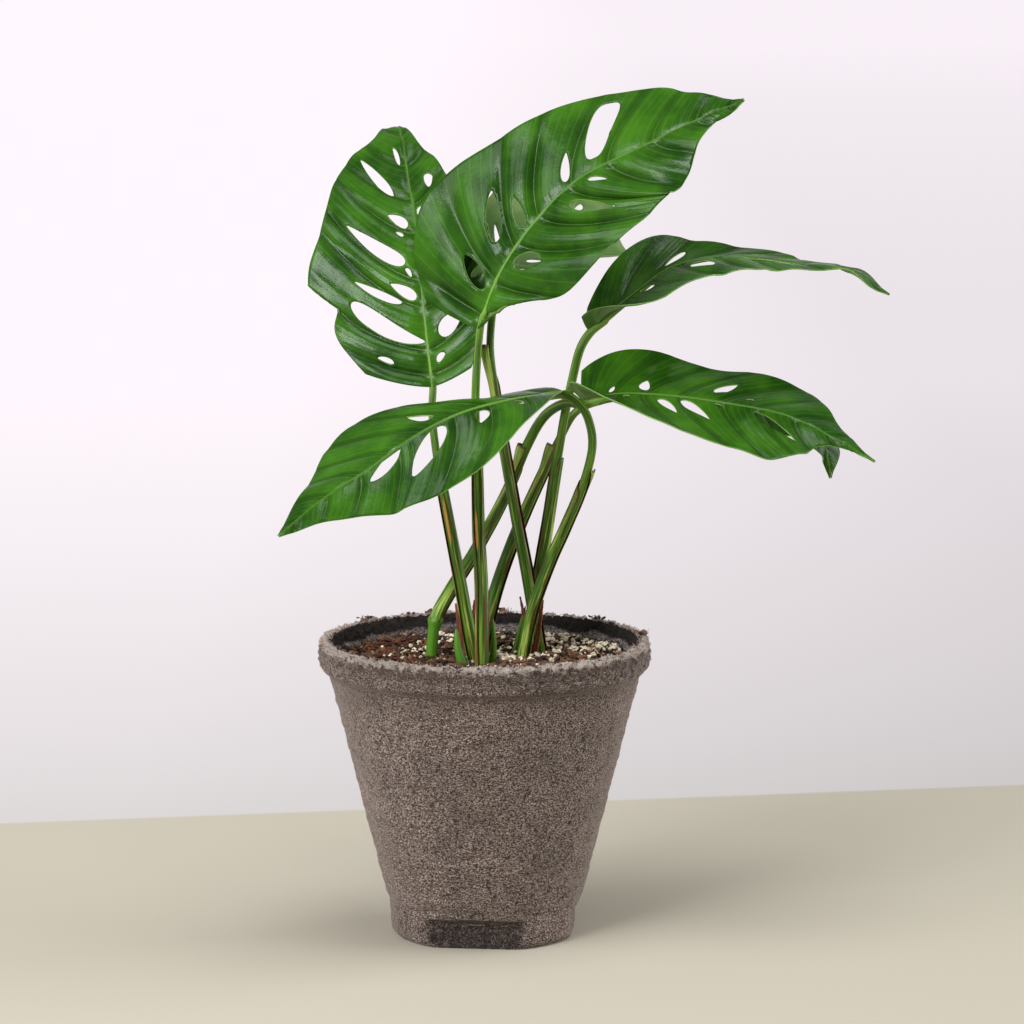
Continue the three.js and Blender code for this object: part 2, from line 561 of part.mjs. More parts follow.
// Plain holes for all that stands in the mix.
function mixHoles() {
  const holes = [];
  const bore = (x, y, radius, depth) => {
    const wide = radius + MIX_HOLE.side;
    const deep = depth + MIX_HOLE.end;
    const hole = new THREE.CylinderGeometry(wide, wide, 2 * deep, MIX_HOLE.sides);
    hole.rotateX(Math.PI / 2);
    hole.translate(x, y, MIX.level);
    holes.push(solidOf(hole));
  };
  for (const leaf of Object.values(LEAVES)) {
    const [x, y] = leaf.stalk[0];
    bore(x, y, leaf.stalkRadius[0], ROOT.depth);
  }
  for (const { places, radius } of Object.values(SHOOTS))
    bore(places[0][0], places[0][1], radius, ROOT.shallow);
  for (const { foot } of Object.values(DRIED_SHEATHS))
    bore(foot[0], foot[1], STRIP.radius + STRIP.spacing / 2, ROOT.shallow);
  return holes;
}

const vine = new THREE.Group();
vine.add(meshOf("pot", potSolid(), MATERIALS.fibre));
vine.add(meshOf("potting_mix", mixSolid(), MATERIALS.mix));
for (const [name, leaf] of Object.entries(LEAVES))
  vine.add(meshOf(name, leafSolid(leaf), MATERIALS.leaf));
for (const [name, shoot] of Object.entries(SHOOTS))
  vine.add(meshOf(name, shootSolid(shoot), MATERIALS.shoot));
for (const [name, sheath] of Object.entries(DRIED_SHEATHS))
  vine.add(meshOf(name, driedSheathSolid(sheath), MATERIALS.driedSheath));

export default vine;
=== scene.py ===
"""A young swiss cheese vine in a moulded fibre pot, in metres, on a pale floor under soft light."""

import math
import random

import bpy
import numpy as np
from mathutils import Euler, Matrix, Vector, noise
from mathutils.geometry import delaunay_2d_cdt


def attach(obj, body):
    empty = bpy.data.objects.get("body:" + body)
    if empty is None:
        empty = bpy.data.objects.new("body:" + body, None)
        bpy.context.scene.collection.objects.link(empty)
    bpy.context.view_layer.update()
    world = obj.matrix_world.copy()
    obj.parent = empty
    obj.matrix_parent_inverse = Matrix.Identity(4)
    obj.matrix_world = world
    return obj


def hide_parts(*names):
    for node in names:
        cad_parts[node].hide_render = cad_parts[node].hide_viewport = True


bl_info = {
    "name": "Potted Swiss Cheese Vine",
    "version": (1, 0, 0),
    "blender": (4, 5, 0),
    "location": "View3D > Sidebar > Vine",
    "description": "Builds a young swiss cheese vine in a moulded fibre pot",
    "category": "Add Mesh",
}

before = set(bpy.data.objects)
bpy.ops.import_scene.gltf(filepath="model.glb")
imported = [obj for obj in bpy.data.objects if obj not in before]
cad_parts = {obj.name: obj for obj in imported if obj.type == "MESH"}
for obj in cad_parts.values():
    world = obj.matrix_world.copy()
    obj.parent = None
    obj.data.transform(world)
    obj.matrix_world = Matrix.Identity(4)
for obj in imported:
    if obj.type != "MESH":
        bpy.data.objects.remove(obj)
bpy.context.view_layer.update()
MM = 0.001

# The lean of the side veins to the tip, as the cosine of their angle to the midrib: the usual one, with which
# a leaf's own shorter list goes on, and the one of a small leaf.
LEAN = [0, 0.45, 0.66, 0.7, 0.72, 0.72, 0.72, 0.75, 0.8]
SMALL_LEAN = [0, 0.45, 0.62, 0.68, 0.71, 0.72, 0.74, 0.76, 0.8]

# How strongly a blade is quilted, where its own lists don't say.
RELIEF = [0.35, 0.35, 0.3, 0.25]

# Every leaf, in millimetres, as it grew. Lists run from its base to its tip at even steps.
# rib: places on the midrib. face: the way the upper side looks.
# left and right: lengths of the side veins, seen from above with the tip ahead.
# lean_left and lean_right: the first numbers of their lean, where it isn't the usual one.
# fold_left and fold_right: degrees by which each half is raised from flat.
# droop: how much the margins hang, as a share. wave: height and number of the margin's waves.
# relief_left and relief_right: how strongly each half is quilted between its side veins.
# A hole is (side, place along the midrib, place across, half width along, half length across, slant), and,
# where they aren't the usual ones, how much it tapers outwards and how square it is.
# A notch is (side, place along the midrib, half width on its base side, depth, half width on its tip side).
# stalk: places from the mix up to the blade. stalk_radius: at its foot and its top. node: where its second
# place is the node that ends a piece of vine. turned: where its underside faces the viewer.
# sheath: the share of the stalk that the sheath wraps, gap: the way its open side looks, in degrees from
# the front to the right, and away: where its free end leans to. strip: how much it narrows there.
# dry: tan patches on the stalk: height, half length, and place from the left at -1 to the right at 1.
LEAVES = {
    "leaf_back_left": {
        "rib": [(-18, 4, 191), (-20, 7, 209), (-22, 12, 228), (-24, 22, 246), (-27, 36, 262), (-30, 54, 276),
                (-34, 73, 275.5)],
        "face": [(-0.25, -1, 0.1), (-0.3, -1, 0.4), (-0.2, -0.7, 0.8), (-0.05, 0.1, 1)],
        "left": [24, 46.8, 46.5, 44, 37, 27, 14, 6, 0.6],
        "right": [16, 30, 35, 27, 20, 15, 6.5, 2.5, 0.6],
        "lean_left": [0.3, 0.5, 0.66],
        "lean_right": [0.3, 0.6, 0.68],
        "fold_left": [6, 4, 5, -6],
        "fold_right": [8, 4, 0, -6],
        "droop": [0.05, 0.1, 0.1, 0.1],
        "wave": (0.6, 5),
        "notches": [(-1, 0.13, 0.052, 11, 0.004)],
        "holes": [(-1, 0.612, 0.58, 0.021, 0.29, 0.09), (-1, 0.725, 0.27, 0.016, 0.11, 0.15),
                  (1, 0.59, 0.6, 0.02, 0.12, -0.05), (1, 0.53, 0.17, 0.012, 0.09, 0),
                  (-1, 0.495, 0.23, 0.016, 0.13, 0), (-1, 0.454, 0.22, 0.008, 0.05, 0),
                  (-1, 0.363, 0.47, 0.024, 0.32, -0.03), (-1, 0.345, 0.13, 0.01, 0.035, 0.1),
                  (-1, 0.278, 0.19, 0.018, 0.13, 0), (-1, 0.23, 0.43, 0.012, 0.21, -0.06),
                  (-1, 0.153, 0.33, 0.027, 0.31, 0.03, -0.3), (1, 0.149, 0.37, 0.026, 0.18, -0.05),
                  (1, 0.19, 0.83, 0.01, 0.11, -0.1), (1, 0.08, 0.21, 0.012, 0.08, 0),
                  (-1, 0.06, 0.46, 0.008, 0.09, -0.03)],
        "relief_left": [0.9, 0.9, 0.7, 0.5, 0.4],
        "relief_right": [0.7, 0.7, 0.6, 0.5, 0.4],
        "stalk": [(-3.6, -7, 96.5), (-5, -6, 104), (-8.5, -6, 124.5), (-12.5, -5, 146), (-16, -2, 165),
                  (-18, 2, 181)],
        "stalk_radius": (2, 1.25),
        "sheath": 0.72,
        "dry": [(145, 9, -0.3)],
        "gap": -35,
    },
    "leaf_top": {
        "rib": [(-2, -6, 212), (5, -9, 231), (17, -12, 249), (32, -15, 264), (53, -19, 275), (73, -23, 285),
                (87, -26, 291)],
        "face": [(-0.45, -0.75, 0.5), (-0.35, -0.8, 0.6), (-0.25, -0.8, 0.6), (-0.2, -0.8, 0.6)],
        "left": [24, 42.5, 40, 36.3, 31.5, 27, 15.3, 6, 0.6],
        "right": [10, 23.2, 38, 42.5, 37, 25, 12.4, 6, 0.6],
        "lean_left": [0, 0.4, 0.64],
        "lean_right": [0.98, 0.28, 0.57, 0.68, 0.7],
        "fold_left": [14, 10, 8, 6],
        "fold_right": [0, 2, 5, 5],
        "droop": [0.1, 0.1, 0.08, 0.05],
        "wave": (1, 4),
        "notches": [(1, 0.83, 0.05, 2.3, 0.05)],
        "holes": [(-1, 0.53, 0.54, 0.029, 0.36, -0.04, -0.12, 0.4), (-1, 0.46, 0.28, 0.012, 0.19, -0.03),
                  (1, 0.53, 0.21, 0.01, 0.09, 0.12), (1, 0.42, 0.44, 0.02, 0.22, -0.03),
                  (-1, 0.3, 0.24, 0.016, 0.18, -0.05), (-1, 0.225, 0.42, 0.017, 0.22, 0.02),
                  (-1, 0.125, 0.23, 0.018, 0.16, 0.05), (1, 0.23, 0.27, 0.026, 0.15, 0)],
        "relief_left": [1, 1, 0.7, 0.3, 0.25, 0.3, 0.5],
        "relief_right": [0.8, 1, 1.1, 1, 0.7, 0.5, 0.5],
        "stalk": [(-1, -12, 96.5), (-1, -11, 122), (-2, -9, 143), (-2.5, -7, 167), (-3, -6, 189.5)],
        "stalk_radius": (2.1, 1.3),
        "sheath": 0.66,
        "dry": [(143, 8, -0.45)],
        "gap": -10,
    },
    "leaf_behind_top": {
        "rib": [(3, 8, 221), (9, 18, 230), (18, 28, 238), (28, 38, 243), (39.5, 48.5, 245.5),
                (51, 57.5, 246.5)],
        "face": [(-0.5, -0.75, 0.45), (-0.4, -0.85, 0.45), (-0.3, -0.85, 0.5)],
        "left": [8, 26, 40, 43, 36, 26, 17, 7, 0.6],
        "right": [6, 16, 24, 31, 33, 24, 12, 4, 0.6],
        "lean_left": SMALL_LEAN,
        "lean_right": SMALL_LEAN,
        "fold_left": [5, 5],
        "fold_right": [5, -14, -12],
        "droop": [0.1, 0.1],
        "wave": (0.7, 4),
        "holes": [(-1, 0.262, 0.45, 0.012, 0.17, 0.07), (-1, 0.7, 0.52, 0.02, 0.13, 0),
                  (1, 0.2, 0.3, 0.016, 0.18, 0), (1, 0.28, 0.25, 0.012, 0.14, 0)],
        "stalk": [(19.5, 11, 96.5), (15.5, 9, 122), (11.5, 8, 143.5), (8, 7, 163.5), (4.5, 7, 184.5),
                  (2, 8, 203.5)],
        "stalk_radius": (2, 1.3),
        "sheath": 0.86,
        "gap": 60,
        "away": (-1, -0.3),
        "turned": True,
    },
    "leaf_upper_right": {
        "rib": [(36, 8, 210), (50, 5, 222), (65, 1, 233), (84, -5, 237), (104, -11, 235), (122, -15, 234),
                (137, -17, 225)],
        "face": [(-0.5, -0.55, 0.9), (-0.3, -0.38, 1), (-0.05, -0.16, 1), (0.05, -0.05, 1),
                 (0.5, -0.3, 0.85)],
        "left": [9.5, 30, 25.5, 25, 25, 21, 13, 8, 0.6],
        "right": [8, 22, 28, 27, 22.5, 14.5, 12, 7, 0.6],
        "lean_left": [0.4, 0.66, 0.7],
        "lean_right": [0.3, 0.52, 0.66],
        "fold_left": [22, 8, -19, -18, -12, 0, -6, 0, 0],
        "fold_right": [75, 17, 0, -1, 2, 4, 2, 0, 0],
        "droop": [0.05, 0.05],
        "wave": (0.5, 5),
        "holes": [(-1, 0.247, 0.63, 0.022, 0.175, -0.04, 0.1), (1, 0.405, 0.36, 0.03, 0.155, 0.05),
                  (1, 0.22, 0.24, 0.022, 0.1, 0), (1, 0.6, 0.32, 0.034, 0.25, 0.2, 0.1)],
        "stalk": [(15.5, 18, 96.5), (18.5, 15, 121), (21.5, 13, 139.5), (25, 11, 163), (28, 10, 181.5),
                  (30.5, 9, 193.5), (33, 8, 203.5)],
        "stalk_radius": (2, 1.5),
        "sheath": 0.6,
        "gap": -60,
    },
    "leaf_lower_right": {
        "rib": [(33.5, -3, 186.5), (46, -8, 190), (65, -14, 190), (84, -20, 188), (102, -27, 185),
                (118, -34, 178), (131, -39, 171)],
        "face": [(-0.1, -0.27, 1), (0, -0.34, 1), (0.1, -0.36, 1), (0.3, -0.7, 1), (0.4, -0.9, 1)],
        "left": [12, 24, 27, 30, 29, 20.2, 11.3, 4.5, 0.6],
        "right": [7, 22, 29, 31, 29.5, 24, 9.5, 2.2, 0.6],
        "lean_left": [0.05, 0.56, 0.68],
        "lean_right": [-0.4, 0.46, 0.65],
        "fold_left": [50, 24, 8, 11, 2, -3, -4, -2, 0],
        "fold_right": [85, 16, -3, -12, -17, -8, -4, 0, 0],
        "droop": [0.06, 0.06, 0.06, 0.05],
        "wave": (0.4, 5),
        "holes": [(-1, 0.13, 0.13, 0.008, 0.07, 0), (-1, 0.22, 0.25, 0.014, 0.13, -0.1),
                  (-1, 0.42, 0.39, 0.016, 0.17, -0.03), (-1, 0.525, 0.24, 0.011, 0.04, 0),
                  (1, 0.19, 0.17, 0.01, 0.06, -0.1), (1, 0.3, 0.3, 0.018, 0.16, 0.04),
                  (1, 0.38, 0.27, 0.02, 0.2, 0.1), (1, 0.615, 0.42, 0.022, 0.33, 0.12),
                  (1, 0.46, 0.09, 0.01, 0.03, 0)],
        "stalk": [(-18.6, 2, 96.5), (-17, 2, 109.5), (-11.5, 5, 120), (-3.5, 11, 132), (7, 19, 150.5),
                  (15, 20, 169), (21, 13, 180), (28, 3, 185.5)],
        "stalk_radius": (2, 1.3),
        "sheath": 0.69,
        "gap": 50,
        "away": (-1, -0.4),
        "node": True,
    },
    "leaf_lower_left": {
        "rib": [(27, -12, 191), (9, -25, 190), (-8, -38, 187), (-24, -49, 180), (-38, -59, 171),
                (-53, -67, 162), (-67, -73, 151)],
        "face": [(0.1, -0.5, 0.8), (0, -0.6, 0.75), (-0.1, -0.65, 0.7), (-0.2, -0.7, 0.7)],
        "left": [2, 19, 33, 32, 27.5, 20.5, 13.3, 7, 0.6],
        "right": [9.5, 20, 30.3, 33.5, 30, 23, 14.5, 8, 0.6],
        "lean_right": [0, 0.5, 0.66],
        "fold_left": [50, 25, -5, -8, -8, -8, -5, -5, 0],
        "fold_right": [-22, -30, -22, -17, -15, -15, -12, -10, -10],
        "droop": [0.1, 0.1, 0.1, 0.05],
        "wave": (0.5, 5),
        "holes": [(1, 0.385, 0.33, 0.022, 0.18, -0.08), (-1, 0.452, 0.34, 0.05, 0.29, 0.12, 0.15),
                  (-1, 0.605, 0.16, 0.044, 0.22, 0.2, -0.1), (-1, 0.27, 0.17, 0.024, 0.1, 0.04),
                  (-1, 0.15, 0.19, 0.012, 0.08, -0.08), (1, 0.07, 0.4, 0.01, 0.09, -0.06)],
        "stalk": [(13.5, 3, 96.5), (16.5, 1, 112.5), (22.5, -1, 130), (28, -3, 143), (33.5, -6, 157),
                  (37, -9, 171.5), (35.5, -11, 182), (31.5, -12, 188)],
        "stalk_radius": (1.9, 1.45),
        "sheath": 0.672,
        "strip": 0.66,
        "gap": 40,
        "away": (0.35, -0.1),
    },
    "leaf_under_right": {
        "rib": [(76, 11, 186.5), (88, 7, 185), (99, 2, 182), (109, -1, 178), (117, -3.5, 171),
                (119, -6, 161)],
        "face": [(-0.1, -0.3, 0.95), (0, -0.3, 0.95), (0.35, -0.8, 0.6)],
        "left": [4, 10, 13, 14, 13, 11, 8, 4, 0.6],
        "right": [4, 10, 13, 13, 11, 8.5, 6, 3, 0.6],
        "lean_left": SMALL_LEAN,
        "lean_right": SMALL_LEAN,
        "fold_left": [0, 0],
        "fold_right": [0, 0],
        "droop": [0.1, 0.1],
        "wave": (0.2, 4),
        "holes": [(-1, 0.45, 0.42, 0.025, 0.17, 0), (1, 0.24, 0.4, 0.03, 0.2, 0)],
        "stalk": [(-1, 20, 96.5), (4, 22, 117), (12, 21, 139.5), (21, 19, 160), (26.5, 20, 171.5),
                  (32, 20, 180.5), (41, 18.5, 184.5), (52, 16, 186.5), (64, 14.5, 187)],
        "stalk_radius": (2.2, 1.1),
        "sheath": 0.575,
        "gap": 50,
        "away": (-1, -0.3),
    },
}

# Steps of a blade along and across, and round each hole.
ROWS_PER_MM = 1.5
COLUMNS = 48
HOLE_STEPS = 48

# Where on the midrib, as shares of it, the stalk has run into it and where it runs out.
RIB_START, RIB_END = 0.06, 0.985

# Steps along what grows, how deep it goes on in the mix, and how many sides it has.
STEP = {"stalk": 0.9, "shoot": 0.35, "strip": 0.5}
DEPTH = {"stalk": 7, "shoot": 4, "strip": 4}
SIDES = {"stalk": 20, "shoot": 20, "strip": 12, "thread": 3}

# The sheath: its thickness, its gap to the stalk, its flare, its half turn at its foot and how much of that
# it loses by its top, in degrees, where its free end starts, and its points across.
SHEATH = {"thick": 0.4, "gap": 0.12, "flare": 0.2, "turn": 170, "lost": 45, "free": 0.86, "points": 22}

# A thread's steps, and its radius at each, as a share.
THREAD = np.array([1, 1, 0.9, 0.7, 0.35])

# Seeds of what is scattered, and the radius of each kind of loose fibre.
SEED = {"fuzz": 7, "chips": 31, "perlite": 53, "coir": 77}
FIBRE = {"fuzz": 0.13, "coir": 0.3}

# Young shoots: places from the mix to the tip, and the radius at the foot, in millimetres.
SHOOTS = {
    "young_shoot_left": {"places": [(-7.5, -13, 96.5), (-9, -13, 102.5), (-9.7, -13, 109.3)], "radius": 2.2},
    "young_shoot_right": {"places": [(2.8, -7, 96.5), (3.2, -7.5, 104), (2.9, -8, 112)], "radius": 1.5},
    "young_shoot_back": {"places": [(10.5, 9, 96.5), (12.3, 9, 105), (14.2, 9, 113.5)], "radius": 1.3},
}

# Dried sheaths: thin brown strips that grow from one foot, in millimetres.
DRIED_SHEATHS = {
    "dried_sheath_left": {
        "foot": (-6.5, 1, 96.5),
        "tips": [(-10, -0.5, 116), (-7, 1, 116), (-3.5, 1, 117)],
    },
    "dried_sheath_right": {"foot": (17, 6, 96.5), "tips": [(12.3, 8, 117), (20.3, 4, 116.5)]},
}

# The pot and the mix, in millimetres.
POT = {
    "height": 104,
    "rim_radius": 57.2,
    "lip_height": 10.5,
    "under_lip_radius": 53.9,
    "step_height": 14.9,
    "step_radius": 34.5,
    "heel_radius": 33.5,
    "foot_radius": 31,
    "wall": 3.2,
    "rim_wall": 4.2,
    "floor": 4,
    "soft_edge": 1.6,
}
# The flats pressed into the foot: the way each looks, in degrees from the front, and its distance. Those that
# are nearer than DEEP_FLAT are darkened with painted shade.
FLATS = [(-6, 27.6), (84, 30.7), (174, 28.2), (264, 32.3)]
FLAT_TOP = 12.9
FLAT_SLOPE = 3
DEEP_FLAT = 29
# Lines from the mould round the wall: height, depth, and the middle and half width of their turn, in radians.
MOULD_LINES = [(101.2, 0.5, -1.9, 1.6), (97.6, 0.35, -1.0, 1.3), (98.4, 0.3, -2.4, 0.8), (83, 0.3, -1.0, 0.9),
               (79.5, 0.22, -0.75, 0.7), (74, 0.18, -0.9, 0.8)]
MIX_LEVEL = 96.5
MIX_RELIEF = 0.66
MIX_DEPTH = 8

# Where loose fibre stands on the rim, in degrees from the right, and how thick each tuft is.
RIM_TUFTS = [(140, 3), (120, 1.5), (111, 1.5), (83, 2), (44, 2), (7, 2.5), (-35, 1), (-75, 1)]

# Where perlite gathers on the mix, in millimetres: x, y, spread, share of the grains.
PERLITE_HEAPS = [(-12, 38, 6, 0.08), (5, -2, 5, 0.1), (16, 4, 5, 0.1), (24, 32, 7, 0.16), (36, 20, 6, 0.14),
                 (-24, 6, 5, 0.05), (44, 12, 5, 0.07), (10, 24, 14, 0.1), (0, -12, 24, 0.1), (0, 0, 28, 0.1)]

# The studio, in metres and degrees.
CAMERA = {"place": (0.0095, -1.457, 0.364), "pitch": -8.434,
          "view_angle": 2 * math.degrees(math.atan(512 / 4262))}
SEAM = {"distance": 0.2, "half_width": 0.0015, "turn": 10}
# The softboxes: where each hangs and its size. All look at the middle of the plant.
LIGHTS = {"key": ((-0.95, -1.3, 0.75), 0.6), "side": ((-1.25, -0.75, 0.95), 0.8),
          "fill": ((1.3, 0.1, 0.5), 1.4), "top": ((0.1, -0.3, 1.6), 0.7)}
LOOKED_AT = (0.02, 0, 0.17)


def linear(code):
    """An sRGB colour code such as #37661d as linear red, green, blue and alpha."""
    parts = [int(code[i:i + 2], 16) / 255 for i in (1, 3, 5)]
    return tuple(c / 12.92 if c <= 0.04045 else ((c + 0.055) / 1.055) ** 2.4 for c in parts) + (1.0,)


def colour(name, code, text):
    """A colour that the user may change."""
    return bpy.props.FloatVectorProperty(
        name=name, description=text, subtype="COLOR", size=4, min=0, max=1, default=linear(code))


def amount(name, value, text, unit="NONE"):
    """A size or a power that the user may change."""
    return bpy.props.FloatProperty(name=name, description=text, default=value, unit=unit)


def whole(name, value, text, least=0):
    """A count that the user may change."""
    return bpy.props.IntProperty(name=name, description=text, default=value, min=least)


class LeafSettings(bpy.types.PropertyGroup):
    """Sizes and colours of the blades."""

    thickness: amount("Blade Thickness", 0.0004, "Thickness of a blade", "LENGTH")
    side_veins: whole("Side Veins", 9, "Side veins on each half of a blade", 4)
    quilting: amount("Quilting", 0.0027, "How far the blade bulges between side veins", "LENGTH")
    deep_green: colour("Deep Green", "#1a3f08", "The darkest green of the upper side")
    mid_green: colour("Mid Green", "#376713", "The lighter green of the upper side")
    vein_green: colour("Vein Green", "#6f9c3a", "The midrib and the side veins")
    under_green: colour("Underside Green", "#647a44", "The dull lower side")
    edge_green: colour("Edge Green", "#5f8236", "The cut edge round the holes and the margin")


class StalkSettings(bpy.types.PropertyGroup):
    """Colours of the stalks, sheaths and shoots."""

    stalk_green: colour("Stalk Green", "#43701a", "The stalks")
    sheath_green: colour("Sheath Green", "#6b8f2c", "The sheaths round the stalks")
    pale_green: colour("Pale Green", "#a3b95a", "Pale streaks and the sheaths' free ends")
    maroon: colour("Maroon", "#63301f", "The dry edges of the sheaths")
    shoot_green: colour("Shoot Green", "#3a6512", "The young shoots")
    dried_brown: colour("Dried Brown", "#8f4e2e", "The dried sheaths")


class PotSettings(bpy.types.PropertyGroup):
    """Colours and grain of the moulded fibre."""

    around: whole("Steps Around", 384, "Steps of the pot's wall around", 48)
    fibre_bump: amount("Fibre Relief", 0.0009, "Height of the felted fibres", "LENGTH")
    fibre_mid: colour("Fibre", "#8b7263", "The fibre's main colour")
    fibre_dark: colour("Dark Fibre", "#46342b", "Dark flecks and damp fibre")
    fibre_pale: colour("Pale Fibre", "#cab8af", "Pale fibres and the worn rim")


class MixSettings(bpy.types.PropertyGroup):
    """Colours and counts of the potting mix."""

    bark_chips: whole("Bark Chips", 2200, "Chips on the mix")
    perlite_grains: whole("Perlite Grains", 640, "Grains on the mix")
    coir_fibres: whole("Coir Fibres", 360, "Fibres on the mix")
    earth: colour("Earth", "#20120a", "The fine dark part of the mix")
    bark: colour("Bark", "#7f593d", "The lighter bark chips")
    coir: colour("Coir", "#85481f", "The coir fibres")
    perlite: colour("Perlite", "#f6ecd9", "The perlite")


class StageSettings(bpy.types.PropertyGroup):
    """The floor and the light."""

    floor: colour("Floor", "#b9b3a4", "The near part of the floor")
    backdrop_near: colour("Near Backdrop", "#dbd6d6", "The backdrop just behind the floor's edge")
    backdrop_far: colour("Far Backdrop", "#fdf5fb", "The far part of the backdrop")
    sky_front: amount("Front Light", 0.3, "Light all over the front")
    sky_back: amount("Back Light", 0.65, "Light low at the back")
    key: amount("Key", 23, "Power of the front softbox", "POWER")
    side: amount("Side", 11, "Power of the side softbox", "POWER")
    fill: amount("Fill", 21, "Power of the right softbox", "POWER")
    top: amount("Top", 10, "Power of the top softbox", "POWER")


def deselect():
    """Leaves nothing selected, as an operator acts on all that is."""
    if bpy.context.object and bpy.context.object.mode != "OBJECT":
        bpy.ops.object.mode_set(mode="OBJECT")
    bpy.ops.object.select_all(action="DESELECT")


def pick(piece):
    """Selects one piece alone and makes it the active one."""
    deselect()
    piece.select_set(True)
    bpy.context.view_layer.objects.active = piece


def store(mesh, attributes):
    """Stores numbers or vectors on a mesh's corners."""
    for key, values in attributes.items():
        values = np.asarray(values, np.float32)
        kind, field = ("FLOAT", "value") if values.ndim == 1 else ("FLOAT_VECTOR", "vector")
        mesh.attributes.new(key, kind, "POINT").data.foreach_set(field, values.ravel())


def corners_of(mesh):
    """A mesh's corners, in millimetres."""
    corners = np.zeros(len(mesh.vertices) * 3)
    mesh.vertices.foreach_get("co", corners)
    return corners.reshape(-1, 3) / MM


def move_corners(mesh, corners):
    """Moves a mesh's corners to places in millimetres."""
    mesh.vertices.foreach_set("co", (corners * MM).ravel())
    mesh.update()


def mesh_piece(name, corners, faces, attributes, materials, edges=()):
    """A piece from corners in millimetres and faces, with numbers stored on its corners."""
    mesh = bpy.data.meshes.new(name)
    places = (np.asarray(corners, float) * MM).tolist()
    mesh.from_pydata(places, edges, [list(map(int, face)) for face in faces])
    store(mesh, attributes)
    for material in materials:
        mesh.materials.append(material)
    piece = bpy.data.objects.new(name, mesh)
    bpy.context.scene.collection.objects.link(piece)
    pick(piece)
    bpy.ops.object.shade_smooth()
    return piece


def join(corners, faces, more_corners, more_faces):
    """Adds one bit's corners and faces to those of its piece."""
    faces += [[k + len(corners) for k in face] for face in more_faces]
    corners += more_corners.tolist()


def settle(piece, slot, *nodes):
    """Lets a finished piece ride on the root body and stand for its nodes, which it hides. Its slot is not
    used.
    """
    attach(piece, "root")
    if nodes:
        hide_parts(*nodes)


def fill(tree, node, inputs):
    """Fills a node's inputs with values or with other nodes' outputs."""
    for key, value in inputs.items():
        if isinstance(value, bpy.types.NodeSocket):
            tree.links.new(value, node.inputs[key])
        else:
            node.inputs[key].default_value = value


def add(tree, kind, inputs, **settings):
    """Adds a node with its settings, fills its inputs, and gives its first output."""
    node = tree.nodes.new(kind)
    for key, value in settings.items():
        setattr(node, key, value)
    fill(tree, node, inputs)
    return node.outputs[0]


def calc(tree, operation, *values):
    """A calculation with numbers."""
    return add(tree, "ShaderNodeMath", dict(enumerate(values)), operation=operation)


def span(tree, value, low, high, start=0, end=1):
    """Runs from start to end while a value runs from low to high, and stays level outside."""
    return add(tree, "ShaderNodeMapRange", {
        "Value": value, "From Min": low, "From Max": high, "To Min": start, "To Max": end})


def blend(tree, share, first, second):
    """From the first colour to the second by a share."""
    return add(tree, "ShaderNodeMix", {0: share, 6: first, 7: second}, data_type="RGBA").node.outputs[2]


def ramp(tree, value, stops):
    """Colours, or greys, at stops of a value."""
    node = add(tree, "ShaderNodeValToRGB", {"Fac": value}).node
    for i, (position, tint) in enumerate(stops):
        stop = node.color_ramp.elements[i] if i < 2 else node.color_ramp.elements.new(position)
        stop.position = position
        stop.color = (tint, tint, tint, 1) if isinstance(tint, (int, float)) else tint
    return node.outputs[0]


def clouds(tree, place, scale, detail=2, roughness=0.5, distortion=0):
    """Soft random clouds, as many to the metre as the scale."""
    return add(tree, "ShaderNodeTexNoise", {
        "Vector": place, "Scale": scale, "Detail": detail, "Roughness": roughness, "Distortion": distortion})


def cells_of(tree, place, scale):
    """How far a place is from the walls between small cells."""
    return add(tree, "ShaderNodeTexVoronoi", {"Vector": place, "Scale": scale}, feature="DISTANCE_TO_EDGE")


def stretch(tree, place, factors):
    """A place with its three parts multiplied."""
    return add(tree, "ShaderNodeVectorMath", {0: place, 1: factors}, operation="MULTIPLY")


def toned_by(tree, tint, factor):
    """A colour made lighter or darker."""
    return add(tree, "ShaderNodeVectorMath", {0: tint, 3: factor}, operation="SCALE")


def parts_of(tree, place):
    """The three parts of a place."""
    return list(add(tree, "ShaderNodeSeparateXYZ", {0: place}).node.outputs)


def stored(tree, name, output="Fac"):
    """A number or a vector stored on the mesh."""
    return add(tree, "ShaderNodeAttribute", {}, attribute_name=name).node.outputs[output]


def raised(tree, height, strength, distance):
    """Relief too fine for the mesh."""
    return add(tree, "ShaderNodeBump", {"Height": height, "Strength": strength, "Distance": distance})


def finish_of(name):
    """A material with its tree and the place on the piece, ready for the nodes of one finish."""
    material = bpy.data.materials.new(name)
    material.use_nodes = True
    tree = material.node_tree
    return material, tree, add(tree, "ShaderNodeTexCoord", {}).node.outputs["Object"]


def finished(material, inputs):
    """The material, once its shader's inputs are filled."""
    fill(material.node_tree, material.node_tree.nodes["Principled BSDF"], inputs)
    return material


def smooth_at(places, shares):
    """Places on the smooth curve through a list, at shares of its run from first to last."""
    p = np.asarray(places, float)
    p = p[:, None] if p.ndim == 1 else p
    padded = np.vstack([2 * p[0] - p[1], p, 2 * p[-1] - p[-2]])
    x = np.clip(np.asarray(shares, float), 0, 1) * (len(p) - 1)
    i = np.minimum(x.astype(int), len(p) - 2)
    w = (x - i)[..., None]
    before, start, end, after = padded[i], padded[i + 1], padded[i + 2], padded[i + 3]
    leave, arrive = (end - before) / 2, (after - start) / 2
    curve = start + leave * w + (3 * (end - start) - 2 * leave - arrive) * w**2
    return curve + (2 * (start - end) + leave + arrive) * w**3


def number_at(numbers, shares):
    """The smooth run of a list of numbers, at shares of it."""
    return smooth_at(numbers, shares)[..., 0]


def unit(vectors):
    """Vectors at length 1."""
    return vectors / np.linalg.norm(vectors, axis=-1, keepdims=True)


